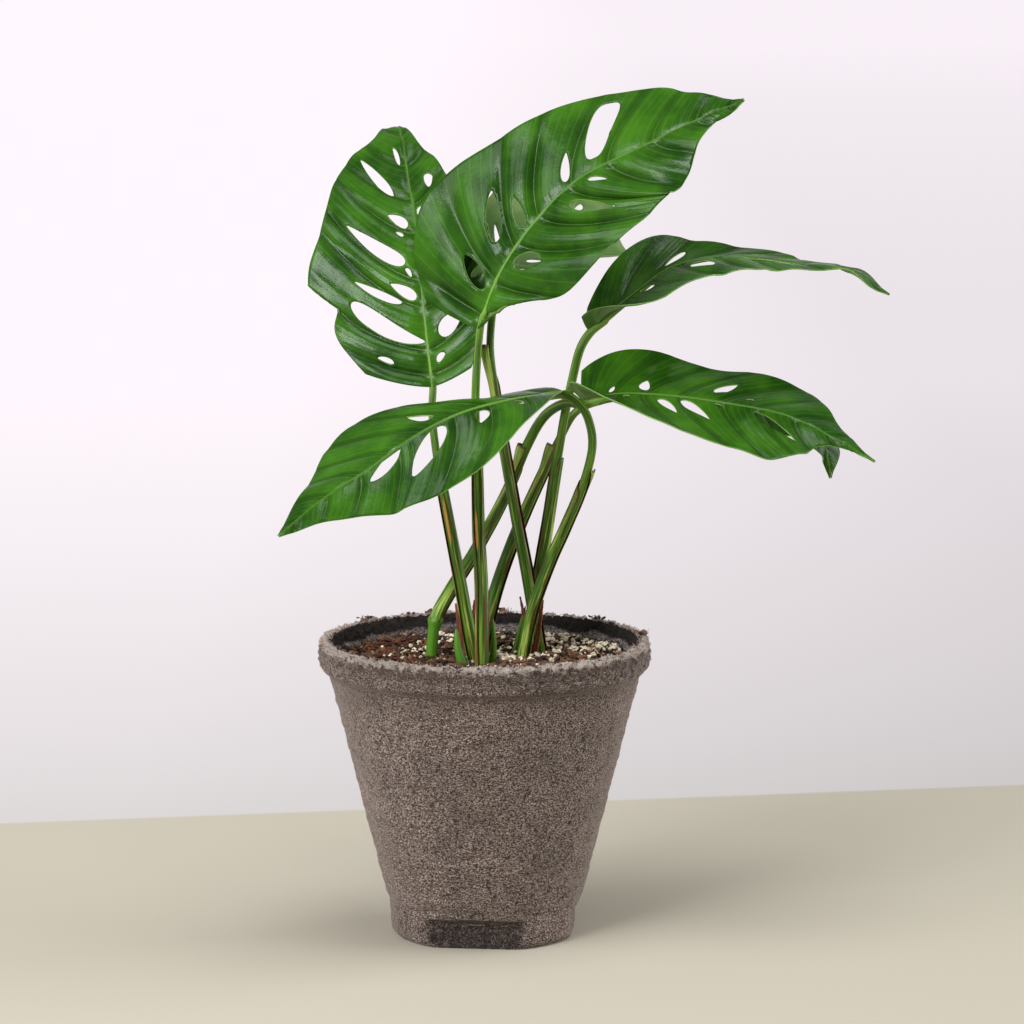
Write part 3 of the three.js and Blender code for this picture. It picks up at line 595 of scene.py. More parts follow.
def rough_at(places, steps):
    """Random relief at places, as a sum of steps that each have a height and a fineness."""
    return np.array([sum(height * noise.noise(Vector(place) * fine) for height, fine in steps)
                     for place in places])


def ease(x, low, high):
    """A smooth step from 0 at low to 1 at high."""
    x = np.clip((x - low) / (high - low), 0, 1)
    return x * x * (3 - 2 * x)


def rib_frame(leaf, t):
    """The midrib's direction, the way the upper side looks, and the way to the right."""
    rib, step = leaf["rib"], 0.001
    ahead = unit(smooth_at(rib, np.minimum(t + step, 1)) - smooth_at(rib, np.maximum(t - step, 0)))
    up = smooth_at(leaf["face"], t)
    up = unit(up - (up * ahead).sum(-1, keepdims=True) * ahead)
    return ahead, up, np.cross(ahead, up)


def of_half(leaf, key, t, side, usual=()):
    """Numbers from the lists of a leaf's two halves. A list that is short ends like the usual one."""
    halves = (leaf.get(key + half, ()) for half in ("left", "right"))
    left, right = ([*own, *usual[len(own):]] for own in halves)
    return np.where(side > 0, number_at(right, t), number_at(left, t))


def side_vein_length(leaf, t, side):
    """How long the side vein that starts at t is, before any notch."""
    return np.maximum(of_half(leaf, "", t, side), 0.3)


def blade_place(leaf, t, v):
    """Places in the blade's middle: t from base to tip, v from its left margin at -1 to its right at 1."""
    ahead, up, right = rib_frame(leaf, t)
    side, reach = np.where(v > 0, 1, -1), np.abs(v)
    depth = np.zeros_like(t)
    for notch_side, along, behind, deepest, before in leaf.get("notches", []):
        half_width = np.where(t > along, before, behind)
        depth += (side == notch_side) * deepest * np.exp(-(((t - along) / half_width) ** 2))
    length = reach * (side_vein_length(leaf, t, side) - depth * reach**3)
    lean = of_half(leaf, "lean_", t, side, LEAN)
    fold = np.radians(of_half(leaf, "fold_", t, side))
    height, waves = leaf["wave"]
    out = length * np.sqrt(np.maximum(1 - lean**2, 0.05))
    wave = height * v**2 * np.sin(2 * np.pi * (waves * t + np.where(side > 0, 0.25, 0)))
    rise = out * np.sin(fold) - length * reach * number_at(leaf["droop"], t)
    place = smooth_at(leaf["rib"], t) + right * (np.sign(v) * out * np.cos(fold))[..., None]
    place += up * (rise + wave * np.minimum(1, 4 * (1 - t)))[..., None]
    return place + ahead * (length * lean * np.sqrt(reach))[..., None]


def blade_normal(leaf, t, v):
    """The way the upper side looks at places of the blade."""
    step = 0.01
    ahead = blade_place(leaf, np.minimum(t + step, 1), v) - blade_place(leaf, np.maximum(t - step, 0), v)
    across = blade_place(leaf, t, np.minimum(v + step, 1)) - blade_place(leaf, t, np.maximum(v - step, -1))
    return unit(np.cross(across, ahead))


def hole_outline(hole, count):
    """One hole's edge as shares along and across the blade."""
    side, along, across, half_width, half_length, slant, *rest = hole
    taper, square = rest if len(rest) == 2 else (rest[0] if rest else 0.35, 0)
    turn = np.linspace(0, 2 * np.pi, count, endpoint=False)
    out, aside = (np.sign(f(turn)) * np.abs(f(turn)) ** (1 - square) for f in (np.cos, np.sin))
    outwards = half_length * out
    point = (1 - taper * out) * (1 - abs(taper) * np.maximum(out * np.sign(taper), 0) ** 3)
    t = along + half_width * aside * point + slant * outwards
    return t, side * (across + outwards)


def side_vein_starts(leaf, side, count):
    """Where the side veins of one half leave the midrib, moved off that half's holes."""
    starts = [((k + 0.5) / count) ** 1.1 for k in range(count)]
    for hole_side, along, _, half_width, *_ in leaf["holes"]:
        reach = half_width + 0.008
        for k, start in enumerate(starts):
            if hole_side == side and abs(start - along) < reach:
                starts[k] = along + math.copysign(reach, start - along)
    starts.sort()
    for k in range(1, count):
        starts[k] = max(starts[k], starts[k - 1] + 0.03)
    return starts


def vein_count_at(leaf, t, v, count):
    """A number that is whole on each side vein and runs evenly between them, and the room between veins."""
    number, room = np.zeros_like(t), np.zeros_like(t)
    for side in (-1, 1):
        starts = np.array([-0.06, *side_vein_starts(leaf, side, count), 1.06])
        here = (v > 0) if side > 0 else (v <= 0)
        number[here] = np.interp(t[here], starts, np.arange(len(starts)))
        k = np.clip(np.floor(number[here]).astype(int), 0, len(starts) - 2)
        room[here] = starts[k + 1] - starts[k]
    return number, room


def inside_outline(x, y, outline):
    """Which places lie inside a closed outline."""
    inside = np.zeros(len(x), bool)
    for (x0, y0), (x1, y1) in zip(outline, np.roll(outline, -1, axis=0)):
        crosses = (y0 > y) != (y1 > y)
        level = y1 - y0 if y1 != y0 else 1
        inside ^= crosses & (x < (x1 - x0) * (y - y0) / level + x0)
    return inside


def flat_blade(leaf, length, width):
    """The blade laid flat, length by width on each side, as corners and triangles with its holes open."""
    rows = round(length * ROWS_PER_MM)
    grid = []
    for t in np.arange(rows + 1) / rows:
        for side in (-1, 1):
            # Where the blade is narrow, every second corner is left out, again and again.
            step, room = 1, float(side_vein_length(leaf, t, side)) / COLUMNS
            while step < 16 and room * step < 0.45:
                step *= 2
            grid += [(t * length, side * j / COLUMNS * width)
                     for j in range(0 if side < 0 else step, COLUMNS + 1, step)]
    grid, outlines = np.array(grid), []
    for hole in leaf["holes"]:
        outline = np.column_stack(hole_outline(hole, HOLE_STEPS)) * (length, width)
        gap = np.min(np.linalg.norm(grid[:, None] - outline, axis=2), axis=1)
        grid = grid[~inside_outline(*grid.T, outline) & (gap > 0.5)]
        outlines.append(outline)
    corners = [Vector(corner) for corner in np.vstack([grid, *outlines])]
    edges = [(first + k, first + (k + 1) % HOLE_STEPS)
             for first in range(len(grid), len(corners), HOLE_STEPS) for k in range(HOLE_STEPS)]
    places, _, triangles = (np.array(part) for part in delaunay_2d_cdt(corners, edges, [], 0, 1e-6)[:3])
    middle = places[triangles].mean(axis=1)
    pierced = [inside_outline(*middle.T, outline) for outline in outlines]
    return places, triangles[~np.any(pierced, axis=0)]


def open_corners(triangles, count):
    """Which corners lie on an open edge."""
    edges = np.sort(np.vstack([triangles[:, [0, 1]], triangles[:, [1, 2]], triangles[:, [2, 0]]]), axis=1)
    pairs, uses = np.unique(edges, axis=0, return_counts=True)
    marks = np.zeros(count)
    marks[pairs[uses == 1].ravel()] = 1
    return marks


def blade(name, leaf, settings, materials):
    """One blade: quilted between its side veins, pierced, and given its thickness."""
    run = smooth_at(leaf["rib"], np.linspace(0, 1, 60))
    length = np.linalg.norm(np.diff(run, axis=0), axis=1).sum()
    width = max(leaf["left"] + leaf["right"])
    places, triangles = flat_blade(leaf, length, width)
    used, triangles = np.unique(triangles, return_inverse=True)
    triangles = triangles.reshape(-1, 3)
    t, v = places[used, 0] / length, places[used, 1] / width
    side, reach = np.where(v > 0, 1, -1), np.abs(v)
    number, room = vein_count_at(leaf, t, v, settings.side_veins)
    bulge = 1 - (1 - 2 * np.abs(number - np.round(number))) ** 2.6
    share = ease(reach, 0, 0.14) * (1 - 0.8 * ease(reach, 0.5, 1)) * np.clip(room * length / 11, 0.25, 1.1)
    share *= of_half(leaf, "relief_", t, side, RELIEF)
    height = settings.quilting / MM * share * (bulge - 0.6)
    height += 0.05 * share * np.cos(2 * np.pi * 4 * number)
    middle = blade_place(leaf, t, v)
    swell = 0.7 * rough_at(middle, [(1, 0.07)]) * reach
    corners = middle + blade_normal(leaf, t, v) * (height + swell)[:, None]
    attributes = {"side_vein": number, "from_midrib": reach * side_vein_length(leaf, t, side),
                  "across": reach, "open_edge": open_corners(triangles, len(used))}
    piece = mesh_piece("blade_" + name, corners, triangles[:, ::-1], attributes, materials)
    solidify = piece.modifiers.new("thickness", "SOLIDIFY")
    solidify.thickness = settings.thickness
    solidify.offset = 0
    solidify.material_offset = 1
    solidify.material_offset_rim = 2
    bpy.ops.object.modifier_apply(modifier=solidify.name)
    return piece


def even_run(places, step):
    """A curve's places at even steps of its length, in millimetres."""
    fine = smooth_at(places, np.linspace(0, 1, 600))
    lengths = np.concatenate([[0], np.cumsum(np.linalg.norm(np.diff(fine, axis=0), axis=1))])
    marks = np.linspace(0, lengths[-1], max(4, int(lengths[-1] / step)))
    return np.column_stack([np.interp(marks, lengths, fine[:, k]) for k in range(3)])


def carried_frames(run):
    """At each place of a run, its direction and two ways across it, which don't twist: front and right."""
    ahead = unit(np.gradient(run, axis=0))
    front = np.zeros_like(run)
    side = np.array([0, -1.0, 0])
    for i, direction in enumerate(ahead):
        side = side - side.dot(direction) * direction
        side /= np.linalg.norm(side)
        front[i] = side
    return ahead, front, np.cross(ahead, front)


def sweep(centres, front, right, angles, radii):
    """Rings of corners round a run of places: angles run from the front to the right."""
    across = front[:, None] * np.cos(angles)[..., None] + right[:, None] * np.sin(angles)[..., None]
    return centres[:, None] + across * radii[..., None]


def skin(rings, sides):
    """Faces between rings of corners, closed at both ends."""
    faces = []
    for i in range(rings - 1):
        for j in range(sides):
            a, b = i * sides + j, i * sides + (j + 1) % sides
            faces.append([a, b, b + sides, a + sides])
    faces.append(list(range(sides))[::-1])
    faces.append([(rings - 1) * sides + j for j in range(sides)])
    return faces


def ring_angles(rings, sides):
    """Angles round each of some rings."""
    return np.tile(np.linspace(0, 2 * np.pi, sides, endpoint=False), (rings, 1))


def tube(run, angles, radii, along):
    """A closed tube round a run: its corners, its faces, and where each corner lies round it and along it."""
    _, front, right = carried_frames(run)
    corners = sweep(run, front, right, angles, radii)
    along = np.repeat(along[:, None], angles.shape[1], 1)
    section = np.stack([np.cos(angles), np.sin(angles), along], axis=-1)
    return corners.reshape(-1, 3), skin(*angles.shape), section.reshape(-1, 3)


def rooted(places, depth):
    """Places that start deeper in the mix."""
    x, y, z = places[0]
    return [(x, y, z - depth), *places]


def stalk_run(leaf):
    """The stalk's middle line, from below the mix to just under the midrib."""
    shares = np.array([[0], [RIB_START]])
    ends = [smooth_at(leaf["rib"], t)[0] - 0.9 * rib_frame(leaf, t)[1][0] for t in shares]
    return even_run([*rooted(leaf["stalk"], DEPTH["stalk"]), *ends], STEP["stalk"])


def dry_patch(leaf, centres, angles):
    """How dry the skin is, from 0 to 1, round a long tan patch on the stalk's front."""
    dry = np.zeros_like(angles)
    for height, half, turn in leaf.get("dry", []):
        tall = np.exp(-(((centres[:, 2] - height) / half) ** 4))
        dry += tall[:, None] * np.exp(-(((np.sin(angles) - turn) / 0.42) ** 2)) * (np.cos(angles) > 0)
    return dry


def tanned(tree, green, streak):
    """The tan colour of a dry patch, over a green."""
    tan = calc(tree, "MULTIPLY_ADD", streak, 1.4, stored(tree, "dry"))
    tan = span(tree, tan, 1.1, 1.35, 0, 0.92)
    return blend(tree, tan, green, linear("#cc9a48"))


def stalk(name, leaf, thickness, material):
    """A stalk that goes on as the midrib, tapering under the blade and a little proud of it."""
    run = stalk_run(leaf)
    foot, top = leaf["stalk_radius"]
    share = np.linspace(0, 1, len(run))
    radius = foot + (top - foot + 0.35) * share - (0 if leaf.get("node") else 0.35)
    if leaf.get("node"):
        # Below its node it is a piece of the vine, which swells at the node.
        gap = np.linalg.norm(run - leaf["stalk"][1], axis=1)
        radius += 0.8 * np.exp(-((gap / 1.6) ** 2))
        share = np.where(np.arange(len(run)) < np.argmin(gap), -1, share)
    t = np.linspace(RIB_START, RIB_END, 110)[1:]
    rib_radius = top * (1 - (t - RIB_START) / (RIB_END - RIB_START)) ** 0.9 * 0.65 + 0.2
    proud = thickness / 2 / MM + 0.06 + 0.1 * (1 - t)
    rib = smooth_at(leaf["rib"], t) - rib_frame(leaf, t)[1] * (rib_radius - proud)[:, None]
    centres = np.vstack([run, rib])
    angles = ring_angles(len(centres), SIDES["stalk"])
    ridges = 1 + 0.035 * np.cos(5 * angles + 0.4)
    radii = np.concatenate([radius, rib_radius])[:, None] * ridges
    corners, faces, section = tube(centres, angles, radii, np.concatenate([share, 1 + t]))
    attributes = {"section": section, "dry": dry_patch(leaf, centres, angles).ravel()}
    return mesh_piece("stalk_" + name, corners, faces, attributes, [material])


def sheath(name, leaf, material):
    """The sheath: a thin shell round the stalk, open along one side, with a free end that stands off."""
    run = stalk_run(leaf)
    last = max(12, int(len(run) * leaf["sheath"]))
    first = np.argmin(np.linalg.norm(run - leaf["stalk"][1], axis=1)) if leaf.get("node") else 7
    _, front, right = carried_frames(run)
    centres, front, right = (places[first:last] for places in (run, front, right))
    share = np.linspace(0, 1, len(centres))
    foot, top = leaf["stalk_radius"]
    inner = foot + (top - foot) * share * leaf["sheath"] + SHEATH["gap"]
    away = np.array([*leaf.get("away", (0, 0)), 0])
    end = ease(share, SHEATH["free"], 1)
    centres = centres + away * (1.5 * end)[:, None]
    middle = math.radians(leaf["gap"]) + math.pi
    turned = math.atan2(away[0], -away[1]) if away.any() else middle
    swing = (turned - middle + math.pi) % (2 * math.pi) - math.pi
    half_turn = np.radians(SHEATH["turn"] - SHEATH["lost"] * share) * (1 - leaf.get("strip", 0.2) * end)
    half_turn *= 1 - 0.06 * np.sin(11 * share)
    spread = np.linspace(-1, 1, SHEATH["points"])
    outer_angles = (middle + swing * end)[:, None] + half_turn[:, None] * spread
    angles = np.concatenate([outer_angles, outer_angles[:, ::-1]], axis=1)
    shell = inner[:, None] + SHEATH["flare"] * np.abs(spread) ** 6
    thick = SHEATH["thick"] * (1 - 0.6 * np.abs(spread) ** 3)
    corners = sweep(centres, front, right, angles, np.concatenate([shell + thick, shell[:, ::-1]], axis=1))
    edge = np.tile(np.abs(np.concatenate([spread, spread[::-1]])), (len(centres), 1))
    # A sheath that stands off at its end grows pale there.
    free = (share if away.any() else 0.7 * share)[:, None] * np.ones(angles.shape)
    section = np.stack([edge, np.sin(angles), free], axis=-1)
    attributes = {"section": section.reshape(-1, 3), "dry": dry_patch(leaf, centres, angles).ravel()}
    return mesh_piece("sheath_" + name, corners.reshape(-1, 3), skin(*angles.shape), attributes, [material])


def shoot(name, form, material):
    """A young shoot: a rolled leaf like a spear, with the seam where it is wrapped."""
    run = even_run(rooted(form["places"], DEPTH["shoot"]), STEP["shoot"])
    share = np.linspace(0, 1, len(run))
    angles = ring_angles(len(run), SIDES["shoot"])
    seam = 1 - 0.16 * np.exp(-(((angles - 0.7) / 0.35) ** 2))
    radius = form["radius"] * np.sqrt(1 - share * 0.985)
    corners, faces, section = tube(run, angles, radius[:, None] * seam, share)
    return mesh_piece("shoot_" + name, corners, faces, {"section": section}, [material])


def dried_sheath(name, form, material):
    """Papery brown strips from one foot, ragged at their edges and tips."""
    draw = random.Random(name)
    corners, faces, sections = [], [], []
    for i, tip in enumerate(form["tips"]):
        aside = (i - (len(form["tips"]) - 1) / 2) * 0.9
        start = np.array(form["foot"]) + (aside, aside / 3, 0)
        middle = start + (np.array(tip) - start) * 0.45
        run = even_run(rooted([start, middle, tip], DEPTH["strip"]), STEP["strip"])
        share = np.linspace(0, 1, len(run))
        angles = ring_angles(len(run), SIDES["strip"])
        ragged = np.array([draw.uniform(0.75, 1.1) for _ in run])
        width = (1.2 * (1 - 0.75 * share**2) * ragged)[:, None]
        radii = width * np.sqrt(np.sin(angles) ** 2 + (0.3 * np.cos(angles)) ** 2)
        places, strip, section = tube(run, angles, radii, share)
        join(corners, faces, places, strip)
        sections += section.tolist()
    return mesh_piece(name + "_strips", corners, faces, {"section": sections}, [material])


def inner_radius(height):
    """The inside of the pot's wall at a height."""
    share = (height - POT["step_height"]) / (POT["height"] - POT["lip_height"] - POT["step_height"])
    return POT["step_radius"] + (POT["under_lip_radius"] - POT["step_radius"]) * share - POT["wall"]


def pot_profile():
    """The pot's outline from its foot's middle up the outside and down the inside, as radius and height."""
    lip_foot = POT["height"] - POT["lip_height"]
    rim, soft = POT["rim_radius"], POT["soft_edge"]
    rim_inner = rim - POT["rim_wall"]
    corners = [
        (0.5, 0), (POT["foot_radius"], 0), (POT["heel_radius"] - soft / 2, soft),
        (POT["heel_radius"], POT["step_height"] - soft), (POT["step_radius"], POT["step_height"]),
        (POT["under_lip_radius"], lip_foot - soft), (POT["under_lip_radius"] + soft, lip_foot - soft / 4),
        (rim - soft / 2, lip_foot + soft / 2), (rim, lip_foot + 2 * soft),
        (rim, POT["height"] - soft), (rim - soft / 2, POT["height"] - soft / 4),
        (rim - POT["rim_wall"] / 2, POT["height"]), (rim_inner + soft / 3, POT["height"] - soft / 4),
        (rim_inner, POT["height"] - soft), (inner_radius(lip_foot), lip_foot),
        (inner_radius(MIX_LEVEL - 12), MIX_LEVEL - 12), (inner_radius(POT["floor"]), POT["floor"]),
        (0.5, POT["floor"]),
    ]
    points = [corners[0]]
    for (r0, z0), (r1, z1) in zip(corners, corners[1:]):
        hidden = r1 < POT["rim_radius"] - 2 and max(z0, z1) < MIX_LEVEL - 10 and r1 <= inner_radius(z1) + 0.1
        hidden = hidden or max(z0, z1) == 0
        steps = max(1, round(math.hypot(r1 - r0, z1 - z0) / (12 if hidden else 0.62)))
        points += [(r0 + (r1 - r0) * k / steps, z0 + (z1 - z0) * k / steps) for k in range(1, steps + 1)]
    return points


def pot_relief(corners, inside):
    """How far the fibre is raised at each corner: soft lumps, mould lines outside, and crumbs at the rim."""
    height, around = corners[:, 2], np.arctan2(corners[:, 1], corners[:, 0])
    relief, rim = np.zeros(len(corners)), np.zeros(len(corners))
    shown, high = ~inside | (height >= MIX_LEVEL - 8), height > 92
    relief[shown] = rough_at(corners[shown] * (0.09, 0.09, 0.5), [(0.3, 1)])
    relief[shown] += rough_at(corners[shown], [(0.3, 0.2), (0.26, 0.8)])
    outside = ~inside & (height > 1)
    for level, depth, middle, half in MOULD_LINES:
        line_height = level + 0.6 * np.sin(3 * around)
        fade = np.exp(-(((around - middle) / half) ** 2))
        relief -= outside * depth * fade * np.exp(-(((height - line_height) / 0.45) ** 2))
    rim[high] = rough_at(corners[high], [(1, 0.3), (0.9, 0.8), (0.7, 1.7)])
    relief += 0.7 * ease(height, 92, 96) * rim * ~(inside & (height < MIX_LEVEL + 2))
    return relief, rim, shown


def press_flats(corners, inside):
    """Presses the flats into the foot, and gives how far each corner is pressed in, from 0 to 1."""
    pressed, height = np.zeros(len(corners)), corners[:, 2]
    for look, distance in FLATS:
        turn = math.radians(look - 90)
        way = np.array([math.cos(turn), math.sin(turn)])
        bend = 1.2 * (corners[:, :2] @ np.array([-way[1], way[0]]) / 18) ** 2
        rise = np.clip((height - bend - FLAT_TOP + FLAT_SLOPE + 1.2) / FLAT_SLOPE, 0, 1)
        limit = distance + rise * (POT["heel_radius"] - distance)
        reach = corners[:, :2] @ way
        press = ~inside & (height < FLAT_TOP) & (reach > limit)
        # How much painted shade each flat takes: all on the near flats, less on the others.
        pressed[press] = np.clip((reach - limit)[press] / 1.5, 0, 1) * (1 if distance < DEEP_FLAT else 0.4)
        corners[press, :2] *= (limit[press] / reach[press])[:, None]
        behind = inside & (height < FLAT_TOP + 1) & (reach > limit - 2.2)
        corners[behind, :2] *= ((limit - 2.2)[behind] / reach[behind])[:, None]
    return pressed


def pot_wall(settings, material):
    """The pot: its outline spun round, with the flats pressed into its foot and the felted fibre raised."""
    profile = pot_profile()
    edges = [(k, k + 1) for k in range(len(profile) - 1)]
    piece = mesh_piece("pot_wall", [(r, 0, z) for r, z in profile], [], {}, [material], edges)
    bpy.ops.object.mode_set(mode="EDIT")
    bpy.ops.mesh.select_all(action="SELECT")
    bpy.ops.mesh.spin(steps=settings.around, angle=2 * math.pi, center=(0, 0, 0), axis=(0, 0, 1))
    bpy.ops.mesh.select_all(action="SELECT")
    bpy.ops.mesh.remove_doubles(threshold=0.000002)
    bpy.ops.mesh.fill_holes(sides=settings.around + 2)
    bpy.ops.mesh.normals_make_consistent(inside=False)
    bpy.ops.object.mode_set(mode="OBJECT")
    bpy.ops.object.shade_smooth()
    corners = corners_of(piece.data)
    radius, height = np.hypot(corners[:, 0], corners[:, 1]), corners[:, 2].copy()
    inside = (radius < inner_radius(height) + 1.2) & (height > POT["floor"] - 0.5)
    rim_inner = POT["rim_radius"] - POT["rim_wall"]
    inside |= (height > POT["height"] - POT["lip_height"]) & (radius < rim_inner + 0.2)
    relief, rim, shown = pot_relief(corners, inside)
    outward = np.where(inside, -1, 1) * (height > 0.5) * shown
    corners[:, :2] *= (1 + outward * relief / np.maximum(radius, 5))[:, None]
    corners[:, 2] += ease(height, POT["height"] - 3, POT["height"]) * (1.1 * rim - 0.5)
    store(piece.data, {"inside": inside, "pressed": press_flats(corners, inside)})
    move_corners(piece.data, corners)
    return piece


def hairs(name, roots, ways, lengths, thickness, draw, material):
    """Fine bent fibres, each a thin three-sided thread, in one piece."""
    corners, faces, tones = [], [], []
    angles = ring_angles(len(THREAD), SIDES["thread"])
    radii = thickness * THREAD[:, None] * np.ones(angles.shape)
    for root, way, length in zip(roots, ways, lengths):
        bend = np.array([draw.uniform(-1, 1) for _ in range(3)]) * 0.5
        middle = root + (way + bend * 0.4) * length * 0.5
        bent = [root - way * 0.3, middle, root + (way + bend) * length]
        run = smooth_at(bent, np.linspace(0, 1, len(THREAD)))
        places, thread, _ = tube(run, angles, radii, np.zeros(len(THREAD)))
        join(corners, faces, places, thread)
        tones += [draw.random()] * len(places)
    return mesh_piece(name, corners, faces, {"tone": tones}, [material])


def rim_fuzz(material):
    """Loose fibre along the rim, thicker in tufts."""
    draw = random.Random(SEED["fuzz"])
    roots, ways, lengths = [], [], []
    spots = [(draw.uniform(0, 360), 0.4) for _ in range(1500)]
    for angle, size in RIM_TUFTS:
        spots += [(angle + draw.gauss(0, 1.2), size) for _ in range(int(30 * size))]
    for angle, size in spots:
        out = np.array([math.cos(math.radians(angle)), math.sin(math.radians(angle)), 0])
        radius, level = POT["rim_radius"] - draw.uniform(0.2, POT["rim_wall"]), POT["height"] - 0.4
        if draw.random() < 0.4:
            radius, level = POT["rim_radius"] - 0.1, POT["height"] - draw.uniform(1, 9)
        roots.append(out * radius + (0, 0, level))
        way = out * draw.uniform(-0.3, 1) + (0, 0, draw.uniform(0.3, 1))
        ways.append(unit(way + [draw.uniform(-0.6, 0.6) for _ in range(3)]))
        lengths.append(draw.uniform(0.3, 0.9) * (0.7 + 0.5 * size))
    return hairs("pot_fuzz", roots, ways, lengths, FIBRE["fuzz"], draw, material)


def mix_height(x, y):
    """The surface of the mix at a place, as a gentle relief."""
    swell = np.sin(x * 0.21 + 1.3) * np.cos(y * 0.19 - 0.4) + 0.6 * np.sin(x * 0.47 + y * 0.39)
    return MIX_LEVEL + MIX_RELIEF * swell


def mix_ground(material):
    """The fine part of the mix: a crumbly disc that fills the pot to its wall."""
    deselect()
    outer = inner_radius(MIX_LEVEL - 1) - 0.2
    bpy.ops.mesh.primitive_circle_add(vertices=180, radius=outer * MM, fill_type="TRIFAN",
                                      location=(0, 0, MIX_LEVEL * MM))
    piece = bpy.context.object
    piece.name = piece.data.name = "mix_ground"
    bpy.ops.object.mode_set(mode="EDIT")
    bpy.ops.mesh.select_all(action="SELECT")
    bpy.ops.mesh.subdivide(number_cuts=7)
    bpy.ops.mesh.select_all(action="SELECT")
    bpy.ops.mesh.beautify_fill()
    bpy.ops.object.mode_set(mode="OBJECT")
    bpy.ops.object.transform_apply(location=True, rotation=True, scale=True)
    corners = corners_of(piece.data)
    crumbs = rough_at(corners * (1, 1, 0), [(0.9, 0.35), (0.7, 0.9), (0.4, 2.1)])
    corners[:, 2] = mix_height(corners[:, 0], corners[:, 1]) - 0.4 + crumbs
    move_corners(piece.data, corners)
    bpy.ops.object.mode_set(mode="EDIT")
    bpy.ops.mesh.select_all(action="SELECT")
    bpy.ops.mesh.select_mode(type="EDGE")
    bpy.ops.mesh.region_to_loop()
    bpy.ops.mesh.extrude_region_move(TRANSFORM_OT_translate={"value": (0, 0, -MIX_DEPTH * MM)})
    bpy.ops.mesh.edge_face_add()
    bpy.ops.mesh.select_mode(type="VERT")
    bpy.ops.object.mode_set(mode="OBJECT")
    bpy.ops.object.shade_smooth()
    piece.data.materials.append(material)
    return piece


def near_stalk(x, y):
    """Whether a place on the mix is where a stalk or a shoot comes up."""
    feet = [leaf["stalk"][0] for leaf in LEAVES.values()] + [form["places"][0] for form in SHOOTS.values()]
    return any(math.hypot(x - foot[0], y - foot[1]) < 3 for foot in feet)


def crumb(seed, subdivisions, rough):
    """One rough crumb of radius 1, as corners and faces."""
    draw = random.Random(seed)
    deselect()
    bpy.ops.mesh.primitive_ico_sphere_add(subdivisions=subdivisions, radius=1)
    piece = bpy.context.object
    corners = np.array([v.co * draw.uniform(1 - rough, 1 + rough * 0.6) for v in piece.data.vertices])
    faces = [list(p.vertices) for p in piece.data.polygons]
    bpy.data.objects.remove(piece, do_unlink=True)
    return corners, faces


def scattered(name, kinds, spots, material):
    """Copies of a few crumbs, each turned, scaled and set on the mix, in one piece."""
    draw = random.Random(name)
    corners, faces, tones = [], [], []
    for x, y, scale, lift in spots:
        shape, cuts = kinds[draw.randrange(len(kinds))]
        turn = Euler((draw.uniform(-0.6, 0.6), draw.uniform(-0.6, 0.6), draw.uniform(0, math.tau)))
        placed = (shape * scale) @ np.array(turn.to_matrix()).T + [x, y, float(mix_height(x, y)) + lift]
        join(corners, faces, placed, cuts)
        tones += [draw.random()] * len(shape)
    piece = mesh_piece(name, corners, faces, {"tone": tones}, [material])
    bpy.ops.object.shade_flat()
    return piece


def mix_chips(settings, material):
    """Bark chips and crumbs of earth over the whole mix."""
    draw = random.Random(SEED["chips"])
    kinds = [crumb(k, 1, 0.35) for k in range(6)]
    outer = inner_radius(MIX_LEVEL) - 1.6
    spots = []
    while len(spots) < settings.bark_chips:
        angle, radius = draw.uniform(0, math.tau), outer * math.sqrt(draw.random())
        x, y = radius * math.cos(angle), radius * math.sin(angle)
        if not near_stalk(x, y):
            size = draw.uniform(0.45, 1.0) if draw.random() < 0.75 else draw.uniform(1.0, 2.1)
            spots.append((x, y, size * np.array([1.7, 0.8, 0.45]), draw.uniform(-0.3, 1.0)))
    # A few have fallen on the rim.
    for angle, thick in RIM_TUFTS:
        for _ in range(int(5 * thick)):
            turn = math.radians(angle + draw.gauss(0, 1.5))
            radius = POT["rim_radius"] - draw.uniform(0.8, 3.2)
            x, y = radius * math.cos(turn), radius * math.sin(turn)
            size = draw.uniform(0.3, 0.9)
            lift = POT["height"] - float(mix_height(x, y)) + draw.uniform(-0.1, 0.3 + 0.3 * thick)
            spots.append((x, y, size * np.array([1.4, 1, 0.7]), lift))
    return scattered("mix_chips", kinds, spots, material)


def mix_perlite(settings, material):
    """Grains of perlite, gathered in heaps."""
    draw = random.Random(SEED["perlite"])
    kinds = [crumb(20 + k, 2, 0.3) for k in range(8)]
    outer = inner_radius(MIX_LEVEL) - 2
    spots = []
    for heap_x, heap_y, spread, share in PERLITE_HEAPS:
        left = int(settings.perlite_grains * share)
        while left > 0:
            x, y = draw.gauss(heap_x, spread), draw.gauss(heap_y, spread)
            if math.hypot(x, y) < outer and not near_stalk(x, y):
                size = draw.uniform(0.3, 1.15)
                shape = np.array([size, size * draw.uniform(0.5, 0.9), size * draw.uniform(0.45, 0.85)])
                spots.append((x, y, shape, draw.uniform(0.5, 1.5)))
                left -= 1
    return scattered("mix_perlite", kinds, spots, material)


def mix_coir(settings, material):
    """Orange-brown coir fibres, most of them at the left."""
    draw = random.Random(SEED["coir"])
    roots, ways, lengths = [], [], []
    outer = inner_radius(MIX_LEVEL) - 4
    while len(roots) < settings.coir_fibres:
        x = draw.gauss(-34, 11) if draw.random() < 0.75 else draw.uniform(-outer, outer)
        y = draw.uniform(-outer, outer)
        if math.hypot(x, y) > outer or near_stalk(x, y):
            continue
        turn = draw.uniform(0, math.tau)
        roots.append(np.array([x, y, float(mix_height(x, y)) + draw.uniform(0.5, 1.4)]))
        ways.append(unit(np.array([math.cos(turn), math.sin(turn), draw.uniform(-0.1, 0.3)])))
        lengths.append(draw.uniform(1.2, 4.5))
    return hairs("mix_coir", roots, ways, lengths, FIBRE["coir"], draw, material)


